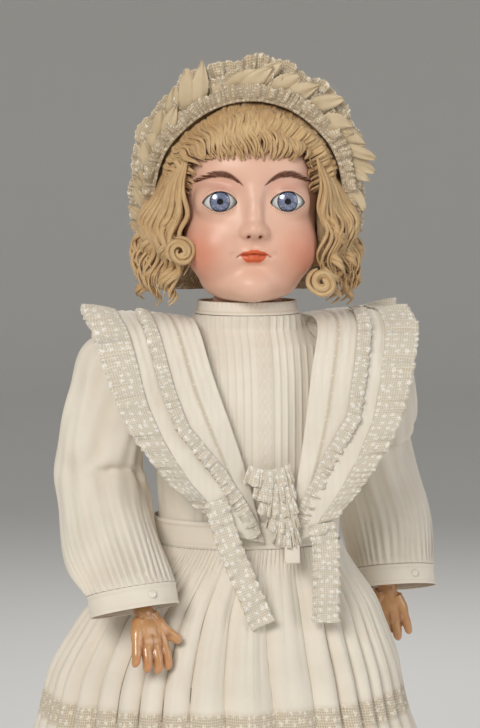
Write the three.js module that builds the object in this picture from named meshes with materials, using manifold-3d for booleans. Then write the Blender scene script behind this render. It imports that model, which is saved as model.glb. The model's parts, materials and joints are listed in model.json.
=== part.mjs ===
// A bisque socket-head child doll on a strung ball-jointed body, dressed.
// Millimetres, +Z up, the doll faces -Y, its right side is at -X, soles on z = 0.
import * as THREE from 'three';
import { mergeVertices } from 'three/addons/utils/BufferGeometryUtils.js';
import Module from 'manifold-3d';

const wasm = await Module();
wasm.setup();

// Fits that every piece shares
const SEAT_GAP = 0.35;
const JOINT_GAP = 0.8;
const CLOTH = 1.6;

// Centres of the body's joints, and the lengths from joint to joint down each limb
const NECK_Z = 545;
const SHOULDER_X = 63;
const SHOULDER_Y = 2;
const SHOULDER_Z = 514;
const HIP_X = 29;
const HIP_Z = 322;
const THIGH_LENGTH = 148;
const LOWER_LEG_LENGTH = 134;
const FOOT_HEIGHT = 40;
const UPPER_ARM_LENGTH = 92;
const FOREARM_LENGTH = 83;

// Radii of the joint balls
const NECK_BALL = 21;
const SHOULDER_BALL = 15;
const ELBOW_BALL = 12;
const WRIST_BALL = 8;
const HIP_BALL = 19;
const KNEE_BALL = 14;

// Half angle of the limb that is left beside each ball, seen from the ball's centre
const ARM_CONE = 42;
const LEG_CONE = 44;

// Wall thicknesses
const BISQUE_WALL = 4;
const TORSO_WALL = 4;

// The pose that the doll is dressed in, in degrees
const HEAD_TURN = -7;
const RIGHT_ARM = { side: -1, swing: 0, spread: 23, roll: 35, elbow: 60, twist: -20, wrist: -20 };
const LEFT_ARM = { side: 1, swing: 38, spread: 23, roll: 17, elbow: 52, twist: -10, wrist: -12 };

// Elastic cord that strings the body, and the bore that it runs in
const ELASTIC_RADIUS = 1.5;
const BORE_RADIUS = 2.5;
const LEG_HOOK_DEPTH = 22;

// Torso, as height, half width and half depth
const TORSO_STATIONS = [
  [308, 34, 24],
  [318, 48, 32],
  [335, 53, 38],
  [350, 53, 39],
  [375, 48, 37],
  [400, 44, 34],
  [430, 46, 35],
  [460, 50, 37],
  [490, 52, 37],
  [510, 53, 35],
  [524, 47, 31],
  [534, 34, 27],
  [545, 25.5, 25.5]
];

// Limbs between their cups, as fraction of the length, half width, half depth and set-back
const UPPER_ARM_STATIONS = [
  [0.22, 12.4, 12.4, 0],
  [0.39, 13.6, 13.6, 0],
  [0.57, 13.4, 13.4, 0]
];
const FOREARM_STATIONS = [
  [0.22, 12.4, 12.4, 0],
  [0.4, 13, 13, 0],
  [0.62, 11.2, 11.2, 0]
];
const THIGH_STATIONS = [
  [0.17, 20.6, 20.6, 0],
  [0.3, 24, 24, 0],
  [0.54, 22.6, 22.6, 0],
  [0.78, 18.7, 18.7, 0]
];
const LOWER_LEG_STATIONS = [
  [0.14, 15.5, 15.5, 0],
  [0.31, 17.2, 18.4, 3],
  [0.46, 16.4, 18, 3.5],
  [0.71, 12.4, 13.2, 2],
  [0.9, 12, 12, 0]
];

// Head, measured from the neck's centre: each lump is a centre and three half sizes
const HEAD_LUMPS = {
  cranium: [0, 6, 78, 47, 54, 49],
  face: [0, -14, 52, 40, 36, 46],
  rightCheek: [-19, -28, 38, 21, 21, 21],
  leftCheek: [19, -28, 38, 21, 21, 21],
  jaw: [0, -18, 16, 28, 26, 12],
  brow: [0, -36, 86, 30, 14, 16],
  chin: [0, -40, 15, 11, 9, 9],
  rightEar: [-46, 4, 58, 4, 9, 15],
  leftEar: [46, 4, 58, 4, 9, 15]
};
const HEAD_BLEND = 7;
const NECK_RADIUS = 20;
const EYE_X = 20.4;
const EYE_Y = -35.5;
const EYE_Z = 66;
const EYE_RADIUS = 13;
const EYE_OPENING_HALF_WIDTH = 10.2;
const EYE_OPENING_HALF_HEIGHT = 6;
const LID_RADIUS = 15.6;
const CROWN_CUT_Z = 104;
const CROWN_CUT_TILT = 18;
const NOSE_TIP_Z = 48.5;
const NOSE_HALF_WIDTH = 8;
const MOUTH_Z = 35.2;
const MOUTH_HALF_WIDTH = 8;

// Dress
const COLLAR_RADIUS = 30;
const COLLAR_TOP_Z = 549;
const BODICE_TOP_Z = 541;
const BODICE_STATIONS = [
  [400, 56, 41],
  [420, 56, 42],
  [450, 58, 44],
  [480, 59, 44],
  [505, 59, 42],
  [522, 54, 37],
  [532, 38.9, 30],
  [BODICE_TOP_Z, 33, 32]
];
const WAISTBAND_HEIGHT = 17;
const SKIRT_FOLDS = 12;
const SKIRT_LEAN = 14;
const SKIRT_FOLD_DEPTH = 0.045;
const SKIRT_STATIONS = [
  [398.9, 57, 42],
  [384, 68, 47],
  [361, 88, 54],
  [322, 107, 76],
  [290, 114, 92],
  [197, 146, 126]
];
const ARMHOLE_RADIUS = 30;
const ARMHOLE_Z = 506;
const PETTICOAT_STATIONS = [
  [394, 48, 37.8],
  [366, 74, 45],
  [322, 90, 62],
  [212, 120, 102]
];
const CUFF_HALF_WIDTH = 27;
const CUFF_HALF_DEPTH = 19;
const CUFF_HEIGHT = 13;

// Hair and bonnet, as offsets from the bisque
const HAIR_CLEARANCE = 0.8;
const HAIR_DEPTH = 9;
const HAIR_WAVES = 14;
const HAIR_SPLIT_Y = -22;
const BONNET_DEPTH = 9.5;
const BONNET_FRONT_TOP_Y = -30;
const BONNET_FRONT_SLANT = 19;
const BONNET_FRILL_WIDTH = 29;
const BONNET_FRILL_END_WIDTH = 9;
const BONNET_FRILL_WAVES = 10;

const rad = THREE.MathUtils.degToRad;
const vec = (x, y, z) => new THREE.Vector3(x, y, z);

// A closed skin over rings of points: capped at both ends, or joined end to end into a hollow
function loft(rings, joinsEnds = false) {
  const points = rings.flat();
  const sides = rings[0].length;
  const faces = [];
  const spans = joinsEnds ? rings.length : rings.length - 1;
  for (let r = 0; r < spans; r++) {
    const next = (r + 1) % rings.length;
    for (let s = 0; s < sides; s++) {
      const t = (s + 1) % sides;
      faces.push([r * sides + s, r * sides + t, next * sides + t]);
      faces.push([r * sides + s, next * sides + t, next * sides + s]);
    }
  }
  if (!joinsEnds) {
    [0, rings.length - 1].forEach((r, end) => {
      const middle = rings[r].reduce((sum, p) => sum.add(p), vec(0, 0, 0)).divideScalar(sides);
      const hub = points.push(middle) - 1;
      for (let s = 0; s < sides; s++) {
        const a = r * sides + s;
        const b = r * sides + (s + 1) % sides;
        faces.push(end ? [a, b, hub] : [b, a, hub]);
      }
    });
  }
  const volume = faces.reduce((sum, [a, b, c]) => {
    return sum + points[a].dot(points[b].clone().cross(points[c]));
  }, 0);
  const geometry = new THREE.BufferGeometry();
  geometry.setAttribute('position', new THREE.Float32BufferAttribute(points.flatMap((p) => p.toArray()), 3));
  geometry.setIndex(faces.flatMap((f) => volume > 0 ? f : [f[0], f[2], f[1]]));
  return geometry;
}

// A ring of points round the Z axis from a function of the angle
function ring(sides, pointAt) {
  return Array.from({ length: sides }, (_, i) => pointAt(2 * Math.PI * i / sides));
}

// An upright oval ring
function oval(sides, z, halfX, halfY, centreX = 0, centreY = 0) {
  return ring(sides, (a) => vec(centreX + halfX * Math.cos(a), centreY + halfY * Math.sin(a), z));
}

// A round or oval tube along a path; radiusAt gives one or two half sizes for 0..1 along it
function tube(path, radiusAt, sides, joinsEnds = false) {
  const count = path.length;
  const tangents = path.map((p, i) => {
    const before = path[joinsEnds ? (i + count - 1) % count : Math.max(i - 1, 0)];
    const after = path[joinsEnds ? (i + 1) % count : Math.min(i + 1, count - 1)];
    return after.clone().sub(before).normalize();
  });
  let side = vec(1, 0, 0);
  if (Math.abs(tangents[0].x) > 0.9) side = vec(0, 1, 0);
  const rings = path.map((p, i) => {
    side.sub(tangents[i].clone().multiplyScalar(side.dot(tangents[i]))).normalize();
    const up = tangents[i].clone().cross(side);
    const [a, b] = [radiusAt(i / (count - 1))].flat();
    return ring(sides, (angle) => p.clone()
      .addScaledVector(side, a * Math.cos(angle))
      .addScaledVector(up, (b ?? a) * Math.sin(angle)));
  });
  return loft(rings, joinsEnds);
}

// Turns a closed geometry into a solid that can be cut, and back
function solid(geometry) {
  const bare = geometry.clone();
  bare.deleteAttribute('normal');
  bare.deleteAttribute('uv');
  const merged = mergeVertices(bare, 1e-4);
  const vertProperties = new Float32Array(merged.attributes.position.array);
  const triVerts = new Uint32Array(merged.index.array);
  return new wasm.Manifold(new wasm.Mesh({ numProp: 3, vertProperties, triVerts }));
}

function skin(body) {
  const mesh = body.getMesh();
  const geometry = new THREE.BufferGeometry();
  geometry.setAttribute('position', new THREE.BufferAttribute(mesh.vertProperties, 3));
  geometry.setIndex(new THREE.BufferAttribute(mesh.triVerts, 1));
  return geometry;
}

function ballSolid(centre, radius, around = 16, down = 10) {
  const geometry = new THREE.SphereGeometry(radius, around, down);
  return solid(geometry.translate(centre.x, centre.y, centre.z));
}

function blockSolid(low, high) {
  const size = high.clone().sub(low);
  const middle = high.clone().add(low).multiplyScalar(0.5);
  return solid(new THREE.BoxGeometry(size.x, size.y, size.z).translate(middle.x, middle.y, middle.z));
}

// What a ball joint clears away round its ball: a sphere less the cone that backs the ball
function clearing(centre, radius, axis, coneAngle) {
  const reach = radius * 1.2;
  const profile = [
    new THREE.Vector2(0, 0),
    new THREE.Vector2(reach * Math.tan(rad(coneAngle)), reach),
    new THREE.Vector2(0, reach)
  ];
  const turn = new THREE.Quaternion().setFromUnitVectors(vec(0, 1, 0), axis.clone().normalize());
  const cone = new THREE.LatheGeometry(profile, 14).applyQuaternion(turn);
  cone.translate(centre.x, centre.y, centre.z);
  return ballSolid(centre, radius, 14, 8).subtract(solid(cone));
}

const doll = new THREE.Group();
doll.name = 'bisque_doll';

function finish(colour, roughness, metalness = 0) {
  return () => new THREE.MeshStandardMaterial({ color: colour, roughness, metalness });
}

const bisque = finish(0xe9c3b0, 0.45);
const composition = finish(0xc98a55, 0.25);
const lawn = finish(0xe8dccd, 0.9);
const ecru = finish(0xcdbb9f, 0.9);
const mohair = finish(0xc9a673, 0.7);
const glass = finish(0x6d86b5, 0.05);
const cork = finish(0xa9825a, 0.9);
const plaster = finish(0xe6e0d6, 0.9);
const steel = finish(0x8a8a88, 0.4, 0.9);
const lead = finish(0x6e7075, 0.6, 0.8);
const rubberCord = finish(0x3b3733, 0.8);
const beech = finish(0xb98a58, 0.6);
const knit = finish(0xe4dccf, 0.95);
const kid = finish(0x4a3428, 0.5);

function add(parent, name, geometry, material) {
  const mesh = new THREE.Mesh(geometry, material());
  mesh.name = name;
  parent.add(mesh);
  return mesh;
}

function groupAt(parent, x, y, z) {
  const group = new THREE.Group();
  group.position.set(x, y, z);
  parent.add(group);
  return group;
}

// Cuts a placed piece with a solid that is given in the figure's frame
function cutInPlace(mesh, cutter) {
  doll.updateMatrixWorld(true);
  const toMesh = mesh.matrixWorld.clone().invert().multiply(figure.matrixWorld);
  mesh.geometry = skin(solid(mesh.geometry).subtract(cutter.transform(toMesh.elements)));
}

// The figure's chain of turning parts: body, neck button, head, eyes; its legs lift it off the ground
const figure = groupAt(doll, 0, 0, FOOT_HEIGHT + LOWER_LEG_LENGTH + THIGH_LENGTH - HIP_Z);
const neckTurn = groupAt(figure, 0, 0, NECK_Z);
neckTurn.rotation.z = rad(HEAD_TURN);
const head = groupAt(neckTurn, 0, 0, 0);

// Distance to an ellipsoid, close enough near its surface
function lumpDistance(p, [x, y, z, rx, ry, rz]) {
  const scaled = Math.hypot((p.x - x) / rx, (p.y - y) / ry, (p.z - z) / rz);
  return (scaled - 1) * Math.min(rx, ry, rz);
}

// All the head's lumps, blended into each other as clay is
function headDistance(p) {
  const sum = Object.values(HEAD_LUMPS).reduce((total, lump) => {
    return total + Math.exp(-lumpDistance(p, lump) / HEAD_BLEND * 3);
  }, 0);
  return -Math.log(sum) * HEAD_BLEND / 3;
}

const HEAD_HEART = vec(0, -6, 54);
const HEAD_REACH = 100;

// Where a ray from inside the head leaves it
function headHit(from, direction, inset = 0) {
  let near = 0;
  let far = HEAD_REACH;
  for (let i = 0; i < 24; i++) {
    const middle = (near + far) / 2;
    const inside = headDistance(from.clone().addScaledVector(direction, middle)) < -inset;
    if (inside) near = middle;
    else far = middle;
  }
  return from.clone().addScaledVector(direction, near);
}

// The head's skin on rings that crowd together on the face
function headSkin(around, down, inset) {
  const rings = [];
  for (let i = 1; i < down; i++) {
    const tilt = Math.PI * i / down;
    rings.push(ring(around, (a) => {
      const turn = a - 0.5 * Math.sin(a) - Math.PI / 2;
      const direction = vec(Math.cos(turn) * Math.sin(tilt), Math.sin(turn) * Math.sin(tilt), -Math.cos(tilt));
      return headHit(HEAD_HEART, direction, typeof inset === 'function' ? inset(a, tilt) : inset);
    }));
  }
  return solid(loft(rings));
}

function oblong(centre, halfSizes, around, down) {
  const geometry = new THREE.SphereGeometry(1, around, down).scale(...halfSizes);
  return solid(geometry.translate(...centre.toArray()));
}

function facePoint(x, z, out = 0) {
  return headHit(vec(x, -10, z), vec(0, -1, 0)).add(vec(0, -out, 0));
}

// The almond opening between the lids of one eye
function eyeOpening(side) {
  const shape = new THREE.Shape();
  shape.moveTo(-EYE_OPENING_HALF_WIDTH, -1);
  shape.quadraticCurveTo(-2, -EYE_OPENING_HALF_HEIGHT * 2, EYE_OPENING_HALF_WIDTH, -1);
  shape.quadraticCurveTo(0, EYE_OPENING_HALF_HEIGHT * 2, -EYE_OPENING_HALF_WIDTH, -1);
  const almond = new THREE.ExtrudeGeometry(shape, { depth: 30, bevelEnabled: false, curveSegments: 4 });
  almond.rotateX(Math.PI / 2);
  almond.translate(side * EYE_X, EYE_Y, EYE_Z);
  return solid(almond);
}

function eyeCentre(side) {
  return vec(side * EYE_X, EYE_Y, EYE_Z);
}

const SKIN_AROUND = 18;
const SKIN_DOWN = 12;
const skullOuter = headSkin(SKIN_AROUND, SKIN_DOWN, 0);
const skullInner = headSkin(12, 9, BISQUE_WALL);

// Everything over the slanted plane that opens the crown, raised by a gap
function overCrownCut(gap) {
  const block = new THREE.BoxGeometry(200, 200, 100).translate(0, 0, 50 + gap);
  block.rotateX(rad(-CROWN_CUT_TILT));
  return solid(block.translate(0, 6, CROWN_CUT_Z));
}

const NOSE_BRIDGE_Z = 72;
const NOSE_RISE = 5;
const NOSE_BRIDGE_RADIUS = 2.6;
const NOSE_WIDENING = 2.4;
const NOSE_BALL = [4.8, 4.4, 4.2];
const NOSTRIL_LUMP = [3.2, 3.6, 2.8];
const UPPER_LIP_Z = MOUTH_Z + 1.2;
const LOWER_LIP_Z = MOUTH_Z - 2.4;
const LIP_SINK = -0.4;
const UPPER_LIP_LUMP = [0.62 * MOUTH_HALF_WIDTH, 2.2, 1.9];
const LOWER_LIP_LUMP = [0.66 * MOUTH_HALF_WIDTH, 2.5, 2.3];
const NECK_TUBE_TOP = 26;
const NECK_BORE_RADIUS = 13;
const NECK_BORE_TOP = 38;
const NECK_BORE_BOTTOM = -2;
const HOOK_HOLE_RADIUS = 6;
const HOOK_HOLE_BOTTOM = -30;

// A round bar from one height to another on the head's own axis
function upright(radius, low, high, sides) {
  const bar = new THREE.CylinderGeometry(radius, radius, high - low, sides);
  return solid(bar.rotateX(Math.PI / 2).translate(0, 0, (low + high) / 2));
}

function bisqueHead() {
  const noseBridge = facePoint(0, NOSE_BRIDGE_Z, -1.5);
  const noseTip = facePoint(0, NOSE_TIP_Z, NOSE_RISE);
  const noseRoot = noseTip.clone().lerp(noseBridge, 0.5).add(vec(0, 0.6, 0));
  const nose = tube([noseBridge, noseRoot, noseTip], (t) => NOSE_BRIDGE_RADIUS + NOSE_WIDENING * t, 7);
  const upperLip = [-1, 1].map((side) => {
    const p = facePoint(side * MOUTH_HALF_WIDTH * 0.42, UPPER_LIP_Z, LIP_SINK);
    return oblong(p, UPPER_LIP_LUMP, 8, 4);
  });
  const lower = facePoint(0, LOWER_LIP_Z, LIP_SINK);
  const nostrils = [-1, 1].map((side) => {
    const p = facePoint(side * (NOSE_HALF_WIDTH - 3), NOSE_TIP_Z - 1.5, 0.4);
    return oblong(p, NOSTRIL_LUMP, 6, 4);
  });
  let outer = skullOuter
    .add(solid(nose))
    .add(oblong(noseTip.clone().add(vec(0, 1, 0)), NOSE_BALL, 8, 6))
    .add(oblong(lower, LOWER_LIP_LUMP, 10, 6))
    .add(upright(NECK_RADIUS - 1, 0, NECK_TUBE_TOP, 16))
    .add(ballSolid(vec(0, 0, 0), NECK_BALL, 16, 8));
  [...upperLip, ...nostrils].forEach((lump) => {
    outer = outer.add(lump);
  });
  [-1, 1].forEach((side) => {
    outer = outer.add(ballSolid(eyeCentre(side), LID_RADIUS, 10, 6));
  });
  let shell = outer
    .subtract(skullInner)
    .subtract(overCrownCut(0))
    .subtract(ballSolid(vec(0, 0, 0), NECK_BALL - BISQUE_WALL, 14, 8))
    .subtract(upright(NECK_BORE_RADIUS, NECK_BORE_BOTTOM, NECK_BORE_TOP, 12))
    .subtract(upright(HOOK_HOLE_RADIUS, HOOK_HOLE_BOTTOM, 0, 12));
  [-1, 1].forEach((side) => {
    shell = shell
      .subtract(eyeOpening(side))
      .subtract(ballSolid(eyeCentre(side), EYE_RADIUS + JOINT_GAP, 12, 8));
  });
  return skin(shell);
}

add(head, 'bisque_head', bisqueHead(), bisque);
const pate = skullOuter.intersect(overCrownCut(SEAT_GAP)).subtract(skullInner);
add(head, 'crown_pate', skin(pate), cork);

// Sleeping eyes: glass balls on a weighted wire rocker that turns in plaster
const PIN_RADIUS = 1.3;
const PIN_END_X = 1.5;
const BEARING_HALF_WIDTH = 5.5;
const BEARING_HALF_HEIGHT = 7;
const BEARING_BORE = 1.8;
const ROCKER_WIRE = 1.3;
const ROCKER_DROP = 8;
const WEIGHT_RADIUS = 7;
const WEIGHT_Y = -13;
const WEIGHT_Z = 33;
const eyes = groupAt(head, 0, EYE_Y, EYE_Z);

function glassEye(side) {
  const middle = side * (EYE_X + PIN_END_X) / 2;
  const pin = new THREE.CylinderGeometry(PIN_RADIUS, PIN_RADIUS, EYE_X - PIN_END_X, 8)
    .rotateZ(Math.PI / 2).translate(middle, 0, 0);
  return skin(ballSolid(vec(side * EYE_X, 0, 0), EYE_RADIUS, 12, 8).add(solid(pin)));
}

function eyeRocker() {
  const backY = EYE_RADIUS + SEAT_GAP + ROCKER_WIRE;
  const weightY = WEIGHT_Y - EYE_Y;
  const weightZ = WEIGHT_Z - EYE_Z;
  const bar = [-EYE_X, -EYE_X * 0.55, 0, EYE_X * 0.55, EYE_X].map((x) => {
    const drop = 1 - Math.abs(x) / EYE_X;
    return vec(x, backY + (weightY - backY) * drop, -ROCKER_DROP * drop);
  });
  const stemTop = vec(0, weightY, -ROCKER_DROP);
  const stemEnd = vec(0, weightY, weightZ + WEIGHT_RADIUS + SEAT_GAP);
  const stem = solid(tube([stemTop, stemEnd], () => ROCKER_WIRE, 6));
  return skin(solid(tube(bar, () => ROCKER_WIRE, 6)).add(stem));
}

function eyeBearing() {
  const block = blockSolid(
    vec(-BEARING_HALF_WIDTH, -80, EYE_Z - BEARING_HALF_HEIGHT),
    vec(BEARING_HALF_WIDTH, EYE_Y + BEARING_HALF_HEIGHT, EYE_Z + BEARING_HALF_HEIGHT)
  );
  const bore = new THREE.CylinderGeometry(BEARING_BORE, BEARING_BORE, 4 * BEARING_HALF_WIDTH, 12);
  bore.rotateZ(Math.PI / 2).translate(0, EYE_Y, EYE_Z);
  return skin(block.intersect(headSkin(12, 9, BISQUE_WALL + SEAT_GAP)).subtract(solid(bore)));
}

const STOP_HALF_WIDTH = 6;
const STOP_BELOW = 5;
const STOP_ABOVE = 6;

function eyeStop() {
  const block = blockSolid(
    vec(-STOP_HALF_WIDTH, -60, WEIGHT_Z - STOP_BELOW),
    vec(STOP_HALF_WIDTH, WEIGHT_Y - WEIGHT_RADIUS - SEAT_GAP, WEIGHT_Z + STOP_ABOVE)
  );
  return skin(block.intersect(headSkin(12, 9, BISQUE_WALL + SEAT_GAP)));
}

add(eyes, 'eye_right', glassEye(-1), glass);
add(eyes, 'eye_left', glassEye(1), glass);
add(eyes, 'eye_rocker', eyeRocker(), steel);
const weight = new THREE.SphereGeometry(WEIGHT_RADIUS, 8, 6).translate(0, WEIGHT_Y - EYE_Y, WEIGHT_Z - EYE_Z);
add(eyes, 'eye_weight', skin(solid(weight)), lead);
add(head, 'eye_bearing', eyeBearing(), plaster);
add(head, 'eye_stop', eyeStop(), cork);

// A wooden button in the neck, with the wire hook that the stringing pulls on
const HOOK_WIRE = 1.6;
const HOOK_DROP = 33;
const HOOK_LOOP = 5;
const HOOK_HOLE = HOOK_WIRE + 1;
const BUTTON_TOP = -9;

function neckButton() {
  const round = ballSolid(vec(0, 0, 0), NECK_BALL - BISQUE_WALL - JOINT_GAP, 14, 10);
  const under = blockSolid(vec(-30, -30, -30), vec(30, 30, BUTTON_TOP));
  return skin(round.intersect(under).subtract(upright(HOOK_HOLE, -NECK_BALL, 0, 8)));
}

function neckHook() {
  const path = [vec(5, 0, BUTTON_TOP + HOOK_WIRE + SEAT_GAP), vec(1.5, 0, BUTTON_TOP + HOOK_WIRE + SEAT_GAP)];
  path.push(vec(0, 0, BUTTON_TOP - 1), vec(0, 0, -22), vec(0, 0, -HOOK_DROP + 6));
  for (let i = 0; i <= 5; i++) {
    const angle = Math.PI * i / 5;
    path.push(vec(0, HOOK_LOOP * (1 - Math.cos(angle)), -HOOK_DROP - HOOK_LOOP * Math.sin(angle)));
  }
  return skin(solid(tube(path, () => HOOK_WIRE, 5)));
}

add(neckTurn, 'neck_button', neckButton(), beech);
add(neckTurn, 'neck_hook', neckHook(), steel);

// The torso: a hollow composition body with a cup for the neck and one for each limb's ball
const TORSO_SIDES = 18;
const CUP_HOLE_RADIUS = 12;
const CUP_HOLE_DEPTH = 50;
const ARM_CORD_HOLE_RADIUS = 6;
const HIP_CLEARING = 36;
const HIP_CUP_CONE = 50;
const HIP_CUP_GAP = 1.3;

function ovalLoft(stations, inset = 0, clip = [-Infinity, Infinity]) {
  const kept = stations.filter(([z]) => z > clip[0] && z < clip[1]);
  const sides = inset ? TORSO_SIDES * 2 / 3 : TORSO_SIDES;
  return solid(loft(kept.map(([z, halfX, halfY]) => oval(sides, z, halfX - inset, halfY - inset))));
}

function shoulderCentre(side) {
  return vec(side * SHOULDER_X, SHOULDER_Y, SHOULDER_Z);
}

function hipCentre(side) {
  return vec(side * HIP_X, 0, HIP_Z);
}

function torsoBody() {
  const neckCup = ballSolid(vec(0, 0, NECK_Z), NECK_BALL + JOINT_GAP, 16, 8);
  const neckHole = new THREE.CylinderGeometry(CUP_HOLE_RADIUS, CUP_HOLE_RADIUS, CUP_HOLE_DEPTH, 12);
  neckHole.rotateX(Math.PI / 2).translate(0, 0, NECK_Z - CUP_HOLE_DEPTH / 2);
  const cordHole = new THREE.CylinderGeometry(ARM_CORD_HOLE_RADIUS, ARM_CORD_HOLE_RADIUS, 2 * SHOULDER_X, 8);
  cordHole.rotateZ(Math.PI / 2).translate(0, SHOULDER_Y, SHOULDER_Z);
  const innerTop = NECK_Z - NECK_BALL - TORSO_WALL;
  let body = ovalLoft(TORSO_STATIONS)
    .subtract(ovalLoft(TORSO_STATIONS, TORSO_WALL, [HIP_Z, innerTop]))
    .subtract(neckCup)
    .subtract(solid(neckHole))
    .subtract(solid(cordHole));
  [-1, 1].forEach((side) => {
    const hip = hipCentre(side);
    const cupAxis = vec(-side * 0.1, 0.3, 1);
    body = body
      .subtract(ballSolid(shoulderCentre(side), SHOULDER_BALL + JOINT_GAP, 12, 8))
      .subtract(ballSolid(hip, HIP_BALL + HIP_CUP_GAP, 12, 8))
      .subtract(clearing(hip, HIP_CLEARING, cupAxis, HIP_CUP_CONE));
  });
  return skin(largestPiece(body));
}

// Keeps the main body where a cut leaves crumbs
function largestPiece(body) {
  return body.decompose().reduce((best, piece) => piece.volume() > best.volume() ? piece : best);
}

add(figure, 'torso', torsoBody(), composition);

// Each limb is lofted from its stations, and cupped where it meets a joint ball
const LIMB_SIDES = 10;
const CUP_RIM = 1;
const CUP_SHOULDER = 8;

function cupEnd(ball, cone, z, towards) {
  const reach = ball + JOINT_GAP;
  return {
    rim: [z + towards * reach * Math.cos(rad(cone)), reach * Math.sin(rad(cone)) + CUP_RIM],
    ball: ballSolid(vec(0, 0, z), reach, 12, 8)
  };
}

function limb(stations, cups) {
  const rings = stations.map(([z, halfX, halfY, y]) => oval(LIMB_SIDES, z, halfX, halfY ?? halfX, 0, y ?? 0));
  return cups.reduce((body, cup) => body.subtract(cup.ball), solid(loft(rings)));
}

// The part of a limb between its cups, from stations that are given as fractions of its length
function middleOf(stations, length) {
  return stations.map(([at, halfX, halfY, y]) => [-at * length, halfX, halfY, y]);
}

function boreDown(length) {
  const bore = new THREE.CylinderGeometry(BORE_RADIUS, BORE_RADIUS, length, 8);
  return solid(bore.rotateX(Math.PI / 2).translate(0, 0, -length / 2));
}

function boredLimb(length, topBall, lowBall, cones, middle, endWidth) {
  const top = cupEnd(topBall, cones[0], 0, -1);
  const low = cupEnd(lowBall, cones[1], -length, 1);
  const stations = [
    top.rim,
    ...middleOf(middle, length),
    [low.rim[0] + CUP_SHOULDER, endWidth],
    low.rim
  ];
  return limb(stations, [top, low]).subtract(boreDown(length));
}

const UPPER_ARM_END = 12;

function upperArm() {
  const cones = [ARM_CONE, ARM_CONE];
  return skin(boredLimb(UPPER_ARM_LENGTH, SHOULDER_BALL, ELBOW_BALL, cones, UPPER_ARM_STATIONS, UPPER_ARM_END));
}

const FOREARM_END = 10.6;
const HOOK_ROOM_RADIUS = 7.8;
const HOOK_ROOM_DEPTH = 15;
const HOOK_ROOM_LIP = 1.5;

function forearm() {
  const cones = [ARM_CONE, LEG_CONE];
  const body = boredLimb(FOREARM_LENGTH, ELBOW_BALL, WRIST_BALL, cones, FOREARM_STATIONS, FOREARM_END);
  const room = new THREE.CylinderGeometry(HOOK_ROOM_RADIUS, WRIST_BALL - HOOK_ROOM_LIP, HOOK_ROOM_DEPTH, 10);
  room.rotateX(Math.PI / 2).translate(0, 0, HOOK_ROOM_DEPTH / 2 - FOREARM_LENGTH);
  return skin(body.subtract(solid(room)));
}

// A joint ball; its bore is cut later, where the cord runs
function jointBall(radius) {
  return skin(ballSolid(vec(0, 0, 0), radius, 10, 8));
}

// The hand: wrist ball, palm and five curved fingers; the palm faces +Y, the thumb is inward
const PALM_SECTIONS = [
  { down: 5, halfWidth: 5.5, halfDepth: 5, forward: 0 },
  { down: 11, halfWidth: 8, halfDepth: 4.9, forward: 0.6 },
  { down: 19, halfWidth: 11.5, halfDepth: 4.9, forward: 1.2 },
  { down: 30, halfWidth: 13, halfDepth: 4.5, forward: 1.2 },
  { down: 33, halfWidth: 11, halfDepth: 3, forward: 1 }
];
const FINGER_LENGTHS = [18, 20.5, 19, 14.5];
const FINGER_RADIUS = 3.2;
const FINGER_SPACING = 6.7;
const FINGER_ROOT = 28;
const FINGER_FAN = 0.24;
const FINGER_CURL = 5.5;
const THUMB_LENGTH = 22;
const THUMB_RADIUS = 3.9;
const THUMB_ROOT = { across: 7.5, down: 16 };

function bentDigit(pointAt, radius, sides) {
  const path = [0, 0.4, 0.8, 1].map(pointAt);
  return solid(tube(path, (t) => radius * Math.sqrt(1 - 0.8 * t ** 6), sides));
}

function hand(side) {
  const palm = PALM_SECTIONS.map(({ down, halfWidth, halfDepth, forward }) => {
    return oval(8, -down, halfWidth, halfDepth, 0, forward);
  });
  let body = solid(loft(palm)).add(ballSolid(vec(0, 0, 0), WRIST_BALL, 8, 6));
  FINGER_LENGTHS.forEach((length, i) => {
    const x = -side * FINGER_SPACING * ((FINGER_LENGTHS.length - 1) / 2 - i);
    body = body.add(bentDigit((t) => vec(
      x * (0.92 + FINGER_FAN * t),
      0.5 + 1.5 * t + FINGER_CURL * t * t,
      -FINGER_ROOT - length * (t - 0.16 * t * t)
    ), FINGER_RADIUS, 5));
  });
  body = body.add(bentDigit((t) => vec(
    -side * (THUMB_ROOT.across + THUMB_LENGTH * (0.7 * t - 0.12 * t * t)),
    0.5 - 2.5 * t,
    -THUMB_ROOT.down - THUMB_LENGTH * 0.66 * t
  ), THUMB_RADIUS, 5));
  return skin(body);
}

const arms = {};

function buildArm(name, pose) {
  const shoulder = groupAt(figure, pose.side * SHOULDER_X, SHOULDER_Y, SHOULDER_Z);
  shoulder.rotation.x = rad(pose.swing);
  const spread = groupAt(shoulder, 0, 0, 0);
  spread.rotation.y = rad(-pose.side * pose.spread);
  const upper = groupAt(spread, 0, 0, 0);
  upper.rotation.z = rad(-pose.side * pose.roll);
  const elbow = groupAt(upper, 0, 0, -UPPER_ARM_LENGTH);
  elbow.rotation.x = rad(-pose.elbow);
  const lower = groupAt(elbow, 0, 0, 0);
  lower.rotation.z = rad(-pose.side * pose.twist);
  const wrist = groupAt(lower, 0, 0, -FOREARM_LENGTH);
  wrist.rotation.x = rad(-pose.wrist);
  arms[name] = { shoulder, spread, upper, elbow, lower, wrist, pose };
  add(shoulder, `shoulder_ball_${name}`, jointBall(SHOULDER_BALL), composition);
  add(upper, `upper_arm_${name}`, upperArm(), composition);
  add(elbow, `elbow_ball_${name}`, jointBall(ELBOW_BALL), composition);
  add(lower, `forearm_${name}`, forearm(), composition);
  add(wrist, `hand_${name}`, hand(pose.side), composition);
}

buildArm('right', RIGHT_ARM);
buildArm('left', LEFT_ARM);

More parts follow.
